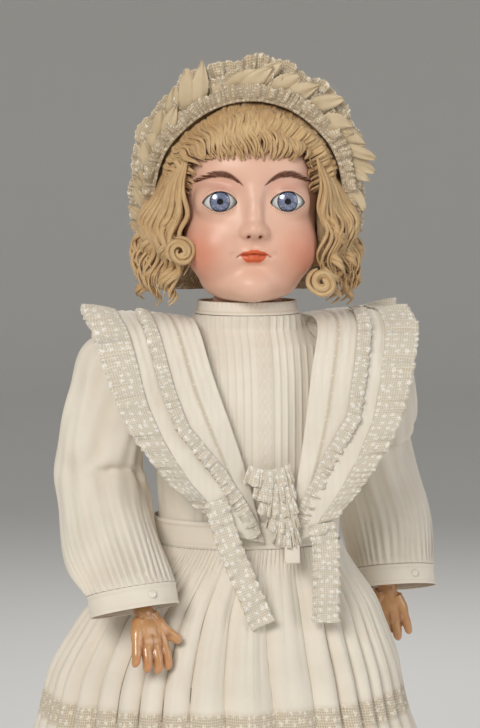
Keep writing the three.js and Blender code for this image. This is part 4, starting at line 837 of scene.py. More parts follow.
locks = []
for layer, count, size, lift, short in ((0, 58, 2.7, 4.2, 0.0), (1, 96, 1.35, 5.6, 3.5)):
    for n in range(count):
        s = 0.86 * (-1 + 2 * (n + comb.uniform(0.2, 0.8)) / count)
        wave = 0.35 * math.sin(5 * s + layer) + comb.uniform(-0.08, 0.08)
        side_drop = max(0.0, abs(s) - 0.58) / 0.38
        tip_z = 91.5 + comb.uniform(-2.6, 1.8) + short * comb.random() - 36 * side_drop ** 1.3
        locks.append(fringe_lock(s, size * comb.uniform(0.8, 1.15),
                                 40 * math.sin(fringe_half_turn * s) + comb.uniform(-1.5, 1.5), tip_z,
                                 lift + comb.uniform(-0.4, 0.6), wave))
new_piece("waved_fringe", lock_mesh("waved_fringe", locks, head_place, 10), hair.material, "head", "mohair",
          ("wig_fringe",))


def ringlet(x, y, top, low, radius, side, turns, start):
    """Four thin locks wound side by side round a hanging core."""
    steps = np.linspace(0, 1, 80)
    made = []
    for k in range(4):
        turn = 2 * np.pi * (turns * steps + start) * side + 0.42 * k
        reach = (radius * 0.66 + 0.5 * math.sin(2.3 * k)) * np.clip(4 * steps, 0.3, 1) * (1 - 0.2 * steps)
        down = top + (low - top) * steps + (k - 1.5) * 2.1
        bow = 2.2 * np.sin(np.pi * steps + k)
        path = np.stack((side * x + bow + reach * np.cos(turn), y + reach * np.sin(turn), down), -1)
        swell = np.clip(np.sin(np.pi * (0.04 + 0.93 * steps)) * 1.8, 0.1, 1)
        core = np.stack((side * x + bow, np.full(80, y), path[:, 2]), -1)
        made.append((path, 1.75 * swell, 1.3 * swell, path - core + np.array((0, 0, 1e-3))))
    return made


def pin_curl(x, y, z, radius, side):
    """A flat curl of three locks, one over the other, wound in towards its middle."""
    steps = np.linspace(0, 1, 70)
    made = []
    for k in range(3):
        turn = 2 * np.pi * 1.3 * steps * side + 1.9 + 2.1 * k
        reach = (radius - 0.8 * k) * (1 - 0.78 * steps) * (1 + 0.07 * np.cos(2 * turn + k))
        path = np.stack((x + reach * np.cos(turn), np.full(70, y) - 1.2 * k - 1.2 * np.sin(np.pi * steps),
                         z + reach * np.sin(turn)), -1)
        swell = np.clip(np.sin(np.pi * (0.05 + 0.9 * steps)) * 3, 0.2, 1)
        made.append((path, 2.1 * swell, 1.4 * swell, path - np.array((x, y, z)) + np.array((0, 1e-3, 0))))
    return made


def waved_lock(side, x, y, top, low, size, wave, spread):
    steps = np.linspace(0, 1, 34)
    sway = np.clip(steps * 2.2, 0.15, 1)
    path = np.stack((side * (x + 3.0 * np.sin(2 * np.pi * (2.1 * steps + wave)) * sway + spread * steps),
                     y + 2.6 * np.cos(2 * np.pi * (2.1 * steps + wave)) * sway, top + (low - top) * steps),
                    -1)
    toward = np.array((side * 46.0, y - 4, top + 16)) - head_heart
    root = skin_hit(head_heart, toward[None], -4.6)[0]
    hold = np.clip(1 - steps / 0.42, 0, 1)[:, None] ** 2
    path += (root - path[0]) * hold
    swell = np.clip(np.sin(np.pi * (0.14 + 0.84 * steps)), 0.06, 1) ** 0.8
    return (path, size * swell, 0.7 * size * swell, path - np.array((0, 0, 60.0)))


for name, side, roll in (("right", -1, (-44, -41, 36)), ("left", 1, (42, -41, 17))):
    locks = [*ringlet(50, -32, 58, 6, 6.6, side, 3.2, 0.1), *ringlet(59, -19, 60, 5, 7.4, side, 2.8, 0.4),
             *ringlet(64, -8, 54, 8, 6.8, side, 3.0, 0.75), *pin_curl(*roll, 9.0, side)]
    for n in range(56):
        around = (n + comb.random()) / 56
        depth = comb.choice((0.0, 3.0, 5.5))
        x, y = 42 + 20 * math.sin(math.pi / 2 * around) + 0.5 * depth, -37 + 33 * around
        locks.append(waved_lock(side, x + 0.6 * depth, y, 84 - 16 * around, 10 + comb.uniform(-3, 14),
                                comb.uniform(1.3, 2.3),
                                0.9 * around + comb.uniform(-0.1, 0.1), comb.uniform(-2, 3)))
    new_piece(f"ringlets_{name}", lock_mesh(f"ringlets_{name}", locks, head_place, 10), hair.material, "head",
              "mohair", (f"wig_curls_{name}",))


# The bonnet: a gathered cap on the back of the head, and round the face three standing rows of
# gathered lace, with loops of ribbon among them and a narrow gathered band in front.
ecru = Finish("ecru_ribbon_lace", srgb(214, 197, 168), srgb(198, 178, 146), patch=70, grain=1500,
              roughness=0.8, bump=0.6, bump_depth=0.0004)
ecru.set(Sheen_Weight=0.3, Sheen_Roughness=0.5)
# The darker and lighter streaks give the ribbon lace's own ribbed tone and also painted shade and painted
# highlight.
rib_tone_and_shade = ecru.noise(0.12, 1.6, 3.0)
ecru.paint(srgb(166, 142, 108), ecru.ramp(rib_tone_and_shade, 0.52, 0.3), 0.55)
ecru.paint(srgb(232, 219, 194), ecru.ramp(rib_tone_and_shade, 0.55, 0.75), 0.5)


def lace_group():
    """Net of fine thread with dotted flowers on it, over UVs in millimetres."""
    tree = bpy.data.node_groups.new("net_lace", "ShaderNodeTree")
    tree.interface.new_socket("Vector", in_out="INPUT", socket_type="NodeSocketVector")
    for name in ("Thread", "Flower"):
        tree.interface.new_socket(name, in_out="OUTPUT", socket_type="NodeSocketFloat")
    entry, leave = tree.nodes.new("NodeGroupInput"), tree.nodes.new("NodeGroupOutput")

    def cells(scale, feature, randomness):
        node = tree.nodes.new("ShaderNodeTexVoronoi")
        node.voronoi_dimensions = "2D"
        node.feature = feature
        node.inputs["Scale"].default_value = scale
        node.inputs["Randomness"].default_value = randomness
        tree.links.new(entry.outputs[0], node.inputs["Vector"])
        return node.outputs["Distance"]

    def step(value, low, high):
        node = tree.nodes.new("ShaderNodeMapRange")
        node.inputs["From Min"].default_value = low
        node.inputs["From Max"].default_value = high
        tree.links.new(value, node.inputs["Value"])
        return node.outputs["Result"]

    def join(operation, first, second):
        node = tree.nodes.new("ShaderNodeMath")
        node.operation = operation
        for i, value in enumerate((first, second)):
            if isinstance(value, float):
                node.inputs[i].default_value = value
            else:
                tree.links.new(value, node.inputs[i])
        return node.outputs[0]

    net = step(cells(0.72, "DISTANCE_TO_EDGE", 0.25), 0.16, 0.04)
    petals = join("MULTIPLY", step(cells(0.2, "F1", 0.55), 0.34, 0.26), step(cells(0.9, "F1", 0.9), 0.5, 0.3))
    heart = step(cells(0.2, "F1", 0.55), 0.12, 0.08)
    flower = join("MAXIMUM", petals, heart)
    tree.links.new(join("MAXIMUM", net, flower), leave.inputs["Thread"])
    tree.links.new(flower, leave.inputs["Flower"])
    return tree


net_lace = lace_group()


def lace_layer(finish, thread, gap, flower, mask=1.0):
    """Paints lace over a finish and raises its threads; the gap colour under the threads is painted shade for
    the holes of the net.
    """
    lace_map = finish.nodes.new("ShaderNodeGroup")
    lace_map.node_tree = net_lace
    finish.links.new(finish.attribute("UVMap", "Vector"), lace_map.inputs[0])
    # Painted shade: the gap colour stands for the holes of the net.
    finish.paint(gap, mask, 0.85)
    finish.paint(thread, mask, lace_map.outputs["Thread"])
    finish.paint(flower, mask, lace_map.outputs["Flower"])
    finish.bump_from(finish.math("MULTIPLY", mask, lace_map.outputs["Thread"]))


ribbon = Finish("ecru_ribbon", srgb(212, 194, 162), srgb(194, 173, 138), patch=70, grain=1500, roughness=0.6,
                bump=0.3)
ribbon.set(Sheen_Weight=0.3, Sheen_Roughness=0.4)
lace_layer(ecru, srgb(234, 222, 198), srgb(182, 160, 126), srgb(244, 235, 215))
bonnet_cap = cap_piece("gathered_bonnet_cap", 10.6, 9.6,
                       lambda a, t: 0.55 * np.abs(np.sin(34 * a)) * np.sin(t),
                       ecru.material, 10, ((-200, -300, -300), (200, 0, 200), edge_place))
settle(bonnet_cap, "head", "lace", "bonnet_cap")


def grid_faces(rows, columns, offset, flip=False):
    faces = []
    for r in range(rows - 1):
        for c in range(columns - 1):
            a = offset + r * columns + c
            face = (a, a + 1, a + columns + 1, a + columns)
            faces.append(face[::-1] if flip else face)
    return faces


def thin_sheets(name, grids, thick, place=None, scale=(1, 1)):
    """Closed thin sheets from grids of points; the far side lies one thickness behind the near one."""
    points, faces, uvs = [], [], []
    for grid in grids:
        rows, columns = grid.shape[:2]
        down, along = np.gradient(grid, axis=0), np.gradient(grid, axis=1)
        normal = np.cross(along, down)
        normal /= np.linalg.norm(normal, axis=2)[:, :, None] + 1e-12
        base = len(points)
        count = rows * columns
        points.extend(grid.reshape(-1, 3))
        points.extend((grid - normal * thick).reshape(-1, 3))
        r, c = np.meshgrid(np.arange(rows), np.arange(columns), indexing="ij")
        uv = np.stack((c * scale[0], r * scale[1]), -1).reshape(-1, 2) + 31.7 * (base % 97)
        uvs.extend(uv)
        uvs.extend(uv)
        faces += grid_faces(rows, columns, base, True)
        faces += grid_faces(rows, columns, base + count)
        border = ([(0, k) for k in range(columns)] + [(k, columns - 1) for k in range(1, rows)]
                  + [(rows - 1, k) for k in range(columns - 2, -1, -1)]
                  + [(k, 0) for k in range(rows - 2, 0, -1)])
        loop = [base + i * columns + k for i, k in border]
        faces += [(loop[k - 1], loop[k - 1] + count, loop[k] + count, loop[k]) for k in range(len(loop))]
    mesh = placed_mesh(name, points, faces, place)
    set_uv(mesh, uvs)
    face_outwards(mesh)
    return mesh


edge_half_turn = 2.05


def leaf(t, length, half_width, lift, lean, cup, pointed, curl, sweep):
    """One loop of ribbon laid slantwise along the bonnet's edge; t runs from ear to ear."""
    turn = edge_half_turn * t
    out = np.array((math.sin(turn), 0, 0)) + bonnet_up * math.cos(turn)
    along = np.array((math.cos(turn), 0, 0)) - bonnet_up * math.sin(turn)
    root = skin_hit(bonnet_hub, out[None], -13.5)[0] + bonnet_forward * (0.8 + lift)
    reach_way = out * math.cos(sweep) + along * math.sin(sweep)
    across = along * math.cos(sweep) - out * math.sin(sweep)
    v, u = np.meshgrid(np.linspace(0, 1, 19), np.linspace(-1, 1, 13), indexing="ij")
    shape = np.sin(np.pi * (0.1 + 0.86 * v)) ** (1.0 if pointed else 0.5)
    wide = half_width * shape * (1 + 0.04 * np.cos(2 * np.pi * 8 * v))
    reach = length * (v - 0.06 * u * u * v)
    forward = (lean * v + cup * (1 - u * u) * np.sin(np.pi * v) + curl * v ** 3
               + 0.7 * np.sin(5 * u + 20 * t) * v)
    return (root + reach_way * reach[..., None] + across * (wide * u)[..., None]
            + bonnet_forward * forward[..., None])


def curve_point(ends, i, t):
    """The smooth curve through a row of points, t of the way from the one after i to the next."""
    a, b, c, d = ends[i:i + 4]
    return 0.5 * (2 * b + (c - a) * t + (2 * a - 5 * b + 4 * c - d) * t * t
                  + (3 * b - a - 3 * c + d) * t ** 3)


def through(points, count):
    """A smooth line through points, evenly spaced."""
    points = np.asarray(points, dtype=float)
    ends = np.vstack((2 * points[0] - points[1], points, 2 * points[-1] - points[-2]))
    spots = [curve_point(ends, i, t) for i in range(len(points) - 1)
             for t in np.linspace(0, 1, 24, endpoint=False)]
    spots = np.array(spots + [points[-1]])
    run = np.concatenate(([0], np.cumsum(np.linalg.norm(np.diff(spots, axis=0), axis=1))))
    even = np.linspace(0, run[-1], count)
    return np.stack([np.interp(even, run, spots[:, k]) for k in range(3)], -1)


def unit(vectors):
    return vectors / (np.linalg.norm(vectors, axis=-1)[..., None] + 1e-9)


def edge_frill(root, outward, normal, width, rows, fullness, depth, scallops, seed):
    """A gathered edging: rows of points from its sewn edge out to a scalloped free edge."""
    run = np.linalg.norm(np.diff(root, axis=0), axis=1)
    t = np.concatenate(([0], np.cumsum(run))) / run.sum()
    turn = (2 * np.pi * fullness * t + 1.6 * np.sin(0.4 * np.pi * fullness * t + seed)
            + 1.0 * np.sin(0.9 * np.pi * fullness * t + 2 * seed))
    size = 0.7 + 0.3 * np.sin(2 * np.pi * 5.3 * t + seed) + 0.2 * np.sin(2 * np.pi * 13 * t)
    along = unit(np.gradient(root, axis=0))
    grid = []
    for v in np.linspace(0, 1, rows):
        scallop = 1.1 * max(0.0, (v - 0.86) / 0.14) * np.abs(np.sin(np.pi * scallops * t))
        wave = depth * size * np.sin(turn) * v ** 0.7 + 0.4 * depth * np.sin(2.1 * turn + 1) * v
        sway = 0.6 * depth * size * np.cos(turn) * v
        arch = 0.9 * np.sin(np.pi * v * 0.8)
        grid.append(root + outward * (width * v + scallop)[:, None] + normal * (wave + arch)[:, None]
                    + along * sway[:, None])
    return np.array(grid)


lace_thickness = 0.35
frill_points = 1500
turns = np.linspace(-0.99, 0.99, frill_points)
ring_out = (np.sin(edge_half_turn * turns)[:, None] * np.array((1.0, 0, 0))
            + np.cos(edge_half_turn * turns)[:, None] * bonnet_up)
ring_root = skin_hit(bonnet_hub, ring_out, -11.2)
ring_taper = 0.42 + 0.58 * np.cos(math.pi * turns / 2) ** 2
forwards = np.tile(bonnet_forward, (frill_points, 1))
for row, (lift, width, lean, fullness, depth, scallops, seed) in {
        "back": (0.6, 23, -3.0, 30, 2.3, 90, 0.4), "middle": (2.4, 16, 0.5, 34, 2.0, 96, 2.1),
        "front": (6.0, 9, 2.5, 30, 2.4, 104, 3.3)}.items():
    ruffled = width * ring_taper * (1 + 0.07 * np.sin(23 * turns + seed)
                                    + 0.05 * np.sin(51 * turns + 2 * seed))
    tipped = unit(ring_out + forwards * (lean / width))
    frill = edge_frill(ring_root + bonnet_forward * lift, tipped, forwards, ruffled, 14, fullness, depth,
                       scallops, seed)
    mesh = thin_sheets(f"bonnet_frill_{row}", [frill], lace_thickness, head_place, (0.3, 1.6))
    new_piece(f"bonnet_frill_{row}", mesh, ecru.material, "head", "lace", ("bonnet_frill",))
chance = random.Random(3)
loops = []
for n in range(30):
    t = -0.95 + 1.84 * (n + chance.uniform(0.2, 0.8)) / 30
    taper = 0.5 + 0.5 * math.cos(math.pi * t / 2) ** 2
    pointed = chance.random() < 0.4
    length = (33 if n in (10, 11) else chance.uniform(22, 29)) * taper
    sweep = 0.55 if n in (10, 11) else chance.uniform(0.8, 1.25)
    loops.append(leaf(t, length, chance.uniform(5.2, 7.4) * taper, 2.0 + 1.5 * (n % 3),
                      chance.uniform(-1.5, 1.5),
                      chance.uniform(1.0, 2.2), pointed, chance.uniform(-0.5, 2), sweep))
new_piece("bonnet_ribbon_loops",
          thin_sheets("bonnet_ribbon_loops", loops, lace_thickness, head_place, (0.8, 1.4)),
          ribbon.material, "head", "lace")
band_root = skin_hit(bonnet_hub, ring_out, -10.2) + bonnet_forward * 5.2
band = edge_frill(band_root - ring_out * 1.5, ring_out, forwards, 7.5 * (0.7 + 0.3 * ring_taper), 9, 38, 1.7,
                  124, 1.1)
new_piece("bonnet_gathered_lace", thin_sheets("bonnet_gathered_lace", [band], 0.3, head_place, (0.3, 1.0)),
          ecru.material, "head", "lace")


# The dress's collar, bodice and waistband: white cotton lawn, the front in narrow pin tucks each
# side of an embroidered strip, a stand collar buttoned behind, and a plain band at the waist.
lawn = Finish("cotton_lawn", srgb(236, 228, 214), srgb(226, 217, 202), patch=34, grain=1900, roughness=0.85,
              bump=0.5, bump_depth=0.0004)
lawn.set(Sheen_Weight=0.25, Sheen_Roughness=0.5, Subsurface_Weight=0.06, Subsurface_Scale=0.002)
# Painted shade: the lawn darkens in the hollows of its gathers and folds, beside tucks, piping and stitching,
# and in stripes over the bretelles.
lawn.paint(srgb(206, 192, 170), lawn.attribute("crease_shade"), 0.6)
lace_layer(lawn, srgb(232, 222, 204), srgb(188, 172, 146), srgb(240, 232, 216), lawn.attribute("insertion"))


def sharp_rims(mesh, rows, columns, joined):
    """Marks a thin sheet's rim edges sharp, so that its two sides shade smoothly up to them."""
    ends = np.empty(2 * len(mesh.edges), dtype=np.int32)
    mesh.edges.foreach_get("vertices", ends)
    row, column = np.divmod(ends.reshape(-1, 2) % (rows * columns), columns)
    rim = ((row == 0) | (row == rows - 1)).all(axis=1) & (row[:, 0] == row[:, 1])
    if not joined:
        rim |= ((column == 0) | (column == columns - 1)).all(axis=1) & (column[:, 0] == column[:, 1])
    sharp = mesh.attributes.new("sharp_edge", "BOOLEAN", "EDGE")
    sharp.data.foreach_set("value", rim)


def ring_sheet(name, grid, thick, scale, crease_shade=None, insertion=None, facing=None):
    """A closed thin sheet that joins end to end; its outer side is the grid of rows round the piece."""
    rows, columns = grid.shape[:2]
    down = np.gradient(grid, axis=0)
    along = np.roll(grid, -1, axis=1) - np.roll(grid, 1, axis=1)
    normal = np.cross(along, down)
    normal /= np.linalg.norm(normal, axis=2)[:, :, None] + 1e-12
    centre = grid.mean(axis=1, keepdims=True)
    if np.sum(normal * (grid - centre)) < 0:
        normal = -normal
    count = rows * columns
    points = np.vstack((grid.reshape(-1, 3), (grid - normal * thick).reshape(-1, 3)))
    faces = []
    for r in range(rows - 1):
        for c in range(columns):
            n = (c + 1) % columns
            a, b, e, f = r * columns + c, r * columns + n, (r + 1) * columns + n, (r + 1) * columns + c
            faces += [(a, b, e, f), (count + f, count + e, count + b, count + a)]
    for c in range(columns):
        n = (c + 1) % columns
        last = (rows - 1) * columns
        faces += [(c, count + c, count + n, n), (last + n, count + last + n, count + last + c, last + c)]
    mesh = placed_mesh(name, points, faces)
    r, c = np.meshgrid(np.arange(rows), np.arange(columns), indexing="ij")
    uv = np.stack((c * scale[0], r * scale[1]), -1).reshape(-1, 2)
    set_uv(mesh, np.vstack((uv, uv)))
    for label, values in (("crease_shade", crease_shade), ("insertion", insertion)):
        values = np.zeros((rows, columns)) if values is None else np.broadcast_to(values, (rows, columns))
        set_attribute(mesh, label, np.tile(values.ravel(), 2))
    face_outwards(mesh)
    sharp_rims(mesh, rows, columns, True)
    if facing is not None:
        mesh.normals_split_custom_set_from_vertices(np.vstack((facing.reshape(-1, 3),
                                                               -facing.reshape(-1, 3))).tolist())
    return mesh


def around_angles(columns):
    """Angles from the centre back, so that each join lies behind."""
    return np.pi / 2 + 2 * np.pi * (np.arange(columns) + 0.5) / columns


cloth = 0.9
# Height, half width and half depth of the bodice at each station
bodice_stations = np.array(((400, 56, 41), (420, 56, 42), (450, 58, 44), (480, 59, 44), (505, 59, 42),
                            (522, 54, 37), (532, 38.9, 30), (541, 33, 32)))


def bodice_half_sizes(heights):
    return [np.interp(heights, bodice_stations[:, 0], bodice_stations[:, column]) for column in (1, 2)]


angles = around_angles(560)
heights = np.linspace(400, 541, 100)
half_x, half_y = (half[:, None] for half in bodice_half_sizes(heights))
bodice_x = half_x * np.cos(angles)
front_side = np.sin(angles)[None, :] < -0.2
tucked = 1 / (1 + np.exp((np.abs(bodice_x - 1.5) - 41) / 1.2)) * front_side
strip = 1 / (1 + np.exp((np.abs(bodice_x - 2.2) - 4.6) / 0.25)) * front_side
across = (bodice_x - 2.2) / 4.7
tuck = np.abs(across - np.round(across))
ridge = np.exp(-(tuck / 0.13) ** 2)
shadow = np.exp(-((across - np.round(across) - 0.22) / 0.1) ** 2)
scallop = np.cos(2 * np.pi * heights / 6.2)[:, None]
embroidery = np.exp(-((np.abs(bodice_x - 2.2) - 2.6 - 0.8 * scallop) / 0.45) ** 2)
embroidery += np.exp(-((bodice_x - 2.2) / 1.1) ** 2) * np.clip(scallop, 0, 1)
soft = (0.5 * np.sin(26 * angles + 0.03 * heights[:, None]) * (1 - tucked)
        * np.clip((heights[:, None] - 400) / 60, 0.2, 1))
raise_by = tucked * (1 - strip) * 0.6 * ridge + strip * (0.7 + 0.45 * embroidery) + soft * 0.6
grid = np.stack(((half_x + raise_by - 0.3) * np.cos(angles), (half_y + raise_by - 0.3) * np.sin(angles),
                 heights[:, None] + np.zeros_like(bodice_x)), -1)
# Painted shade falls beside each tuck and on the strip's ground between its embroidery.
bodice_mesh = ring_sheet("tucked_bodice", grid, cloth, (0.62, 1.4),
                         tucked * (1 - strip) * shadow + 0.5 * strip * (1 - embroidery.clip(0, 1)))
bodice = new_piece("tucked_bodice", bodice_mesh, lawn.material)
for side in (-1, 1):
    hole_place = Matrix.Translation((side * 0.064, 0.002, 0.506)) @ Matrix.Rotation(math.pi / 2, 4, "Y")
    cut(bodice, turned_mesh("armhole", ((0, -30), (29.6, -30), (29.6, 30), (0, 30)), 96, hole_place))
settle(bodice, "torso", "lawn", "dress_bodice")

heights = np.linspace(541.4, 549.2, 14)
rise = (heights - heights[0]) / (heights[-1] - heights[0])
angles = around_angles(300)
edge = 0.35 * np.sin(60 * angles)[None, :] * rise[:, None] ** 3
piping = 0.3 * np.exp(-((rise - 0.12) / 0.07) ** 2) + 0.35 * np.exp(-((rise - 0.86) / 0.07) ** 2)
reach_x = (32.5 - 2.4 * rise + piping)[:, None] + edge
reach_y = (32 - 1.9 * rise + piping)[:, None] + edge
grid = np.stack((reach_x * np.cos(angles), reach_y * np.sin(angles), heights[:, None] + np.zeros_like(edge)),
                -1)
# Painted shade runs round the collar in a line just above its lower piping.
new_piece("stand_collar",
          ring_sheet("stand_collar", grid, cloth, (0.66, 0.6), np.exp(-((rise - 0.24) / 0.06) ** 2)[:, None]),
          lawn.material, "torso", "lawn", ("collar_band",))

heights = np.linspace(399.3, 416, 26)
rise = (heights - heights[0]) / (heights[-1] - heights[0])
angles = around_angles(420)
piping = 0.45 * (np.exp(-((rise - 0.1) / 0.05) ** 2) + np.exp(-((rise - 0.9) / 0.05) ** 2))
grid = np.stack(((57.9 + 0.4 + 0.6 * rise + piping)[:, None] * np.cos(angles),
                 (42.9 + 0.4 + 0.8 * rise + piping)[:, None] * np.sin(angles),
                 heights[:, None] + np.zeros((1, 420))), -1)
# Painted shade runs round the band in two lines just inside its piping.
seam_shade = 0.5 * np.exp(-((np.abs(rise - 0.5) - 0.33) / 0.03) ** 2)
waistband = new_piece("waist_insertion",
                      ring_sheet("waist_insertion", grid, cloth, (0.76, 0.67), seam_shade[:, None]),
                      lawn.material, "torso", "lawn", ("waistband",))

# Small pearl buttons close the dress down the centre of the back.
pearl = Finish("pearl_button", srgb(238, 232, 222), srgb(224, 216, 204), patch=300, grain=200, roughness=0.25,
               bump=0.05)
for n, height in enumerate((545.4, 524, 500, 476, 452, 428, 408)):
    depth = 31.9 if n == 0 else float(bodice_half_sizes(height)[1]) + (2.6 if n == 6 else 0.4)
    button = turned_mesh(f"back_button_{n}",
                         ((0, -0.4), (2.1, -0.4), (2.4, 0.5), (1.7, 1.1), (1.1, 0.8), (0, 0.7)),
                         28, Matrix.Translation((0, depth / 1000, height / 1000))
                         @ Matrix.Rotation(-math.pi / 2, 4, "X"))
    new_piece(f"back_button_{n}", button, pearl.material, "torso", "lawn")


# Two deep bretelles: sheer lawn panels that run from the waist in front over the shoulders to the
# waist behind, edged with gathered scalloped lace, with a second narrow frill over each panel.
net = Finish("scalloped_lace", srgb(232, 222, 205), srgb(222, 210, 190), patch=60, grain=1400, roughness=0.85,
             bump=0.7, bump_depth=0.0004)
net.set(Sheen_Weight=0.2, Sheen_Roughness=0.5)
lace_layer(net, srgb(245, 239, 227), srgb(212, 200, 178), srgb(250, 246, 238))


panel_rows, panel_columns = 40, 420


def bretelle_edges(side, steps):
    shift = 8
    inner = through([(shift + side * 7, -45.6 + side * 0.8, 404), (shift * 0.6 + side * 18, -49, 455),
                     (side * 30, -45, 505),
                     (side * 37, -32, 534), (side * 37.4, 0, 538.5), (side * 37, 33, 532),
                     (side * 28, 46, 490), (side * 12, 48, 410)], steps)
    outer = through([(shift + side * 26, -50, 409), (side * 62, -56, 444), (side * 84, -48, 482),
                     (side * 93, -34, 522),
                     (side * 97, 2, 541), (side * 86, 44, 530), (side * 54, 62, 484), (side * 22, 52, 412)],
                    steps)
    return inner, outer


sides = (("right", -1), ("left", 1))
for name, side in sides:
    inner, outer = bretelle_edges(side, panel_columns)
    across = outer - inner
    normal = unit(np.cross(np.gradient(inner, axis=0), across)) * -side
    t = np.linspace(0, 1, panel_columns)
    panel = []
    for w in np.linspace(0, 1, panel_rows):
        drape = 0.9 * w * w * np.sin(2 * np.pi * 5 * t + 2 * w) + 0.5 * w * np.sin(2 * np.pi * 13 * t + side)
        gather = 0.6 * np.sin(2 * np.pi * 9 * w + 4 * t) * np.exp(-((t - 0.44) / 0.14) ** 2)
        lift = 0.4 + 2.2 * math.sin(math.pi * w * 0.8)
        panel.append(inner + across * (0.76 * w) + normal * (drape + gather + lift)[:, None])
    panel = np.array(panel)
    mesh = thin_sheets(f"bretelle_panel_{name}", [panel], 0.5, None, (1.2, 1.2))
    # Painted shade lies in narrow upright stripes over the front of each panel.
    fold = 0.5 + 0.5 * np.cos(2 * np.pi * (panel[:, :, 0] / 4.6))
    set_attribute(mesh, "crease_shade",
                  np.tile((0.22 * np.clip(fold - 0.72, 0, 1) * 3.5 * (panel[:, :, 1] < 0)).ravel(), 2))
    strip = np.clip(1 - np.abs(np.linspace(0, 1, panel_rows) - 0.3) / 0.035, 0, 1) ** 0.5
    set_attribute(mesh, "insertion", np.tile(np.repeat(strip * 0.9, panel_columns), 2))
    new_piece(f"bretelle_panel_{name}", mesh, lawn.material, "torso", "lawn", (f"bretelle_{name}",))
    edge = through(panel[-1][::12], 1300)
    facing = through(normal[::12], 1300)
    outward = unit(through(unit(across)[::12], 1300))
    depth = 3.5 + 0.3 * np.linalg.norm(through(across[::12], 1300), axis=1)
    frill = edge_frill(edge - outward * 1.5 + facing * 0.9, outward, facing, depth, 17, 30, 2.2, 78,
                       0.6 + side)
    mesh = thin_sheets(f"bretelle_lace_{name}", [frill], lace_thickness, None, (0.34, 1.1))
    new_piece(f"bretelle_lace_{name}", mesh, net.material, "torso", "lace")
    spots = [(int(2 + 20 * min(1, 2.1 * k)),
              int((panel_columns - 1) * (0.02 + 0.46 * k))) for k in np.linspace(0, 1, 24)]
    middle = through([panel[row][column] for row, column in spots], 700)
    lifted = unit(through([normal[column] for row, column in spots], 700))
    sideways = unit(np.cross(unit(np.gradient(middle, axis=0)), lifted)) * side
    narrow = edge_frill(middle + lifted * 1.6, sideways, lifted, 8.0, 11, 26, 1.3, 52, 2.2 + side)
    mesh = thin_sheets(f"bretelle_frill_{name}", [narrow], lace_thickness, None, (0.36, 0.8))
    new_piece(f"bretelle_frill_{name}", mesh, net.material, "torso", "lace")


# The lace meets in a gathered cascade at the point of the V, and its ends hang over the skirt.
def lace_tail(points, half_width, seed):
    line = through(points, 150)
    side_way = unit(np.cross(np.gradient(line, axis=0), (0.0, 1.0, 0.0)))
    t = np.linspace(0, 1, 150)
    grid = []
    for u in np.linspace(-1, 1, 22):
        ruffle = (1.3 * u ** 2 * np.sin(2 * np.pi * 11 * t + seed + (2 if u > 0 else 0))
                  + 0.6 * np.sin(2 * np.pi * 3 * t + 2 * u))
        edge = 0.8 * abs(u) ** 8 * np.abs(np.sin(2 * np.pi * 9 * t))
        grid.append(line + side_way * (half_width * u + np.sign(u) * edge)[:, None]
                    + np.array((0, -1.0, 0)) * (ruffle + 1)[:, None])
    return np.array(grid)


tails = [lace_tail([(-31, -54, 432), (-25, -57, 410), (-15, -61, 384), (-4, -65, 357)], 7.0, 0.4),
         lace_tail([(35, -53, 416), (37, -56, 398), (36, -61, 372), (35, -64, 357)], 8.0, 1.7)]
new_piece("lace_tails", thin_sheets("lace_tails", tails, 0.4, None, (0.5, 0.75)), net.material, "torso",
          "lace")
cascade = []
for n in range(5):
    across = np.linspace(-1, 1, 160)[:, None]
    half = 12.5 - 1.6 * n
    line = (np.array((3.0 + 2.3 * n, -53.5 - 1.1 * n, 450.0 - 9.0 * n)) + across * np.array((half, 0, 0))
            + across ** 2 * np.array((0, 2.5, 3.0)))
    down = unit(np.array((0.0, -0.12, -1.0)) + across * np.array((0.35, 0, 0)))
    cascade.append(edge_frill(line, down, np.tile((0.0, -1.0, 0.0), (160, 1)), 11.0, 12, 4.5, 2.0, 9,
                              0.7 + 1.9 * n))
new_piece("lace_knot", thin_sheets("lace_knot", cascade, lace_thickness, None, (0.22, 1.0)), net.material,
          "torso", "lace")
v, u = np.meshgrid(np.linspace(0, 1, 14), np.linspace(-1, 1, 12), indexing="ij")
tab_mesh = thin_sheets("lawn_tab",
                       [np.stack((15.5 + 4.6 * u, -57.5 - 2.4 * v + 0.3 * u * u, 408 - 15 * v), -1)],
                       0.6)
for label in ("crease_shade", "insertion"):
    set_attribute(tab_mesh, label, np.zeros(len(tab_mesh.vertices)))
new_piece("lawn_tab", tab_mesh, lawn.material, "torso", "lawn")


# Full bishop sleeves set into the armholes in gathers and gathered again into plain band cuffs,
# each cuff closed with a small pearl button.
cuff_depth = 13


def cuff_frame(side, elbow, wrist):
    centre = elbow + (wrist - elbow) * 1.02 + np.array((side * 5.0, 0, 0))
    along = (wrist - elbow) * (1, 0, 1)
    along /= np.linalg.norm(along)
    down = np.array((along[0] * 0.35, -math.sin(math.radians(18)), -1.0))
    down /= np.linalg.norm(down)
    across = np.array((1.0, 0, 0)) - down * down[0]
    across /= np.linalg.norm(across)
    return centre, down, across, np.cross(down, across)


def bodice_half_width(y, z):
    half_x, half_y = bodice_half_sizes(z)
    return half_x * np.sqrt(np.clip(1 - (y / half_y) ** 2, 0, 1))


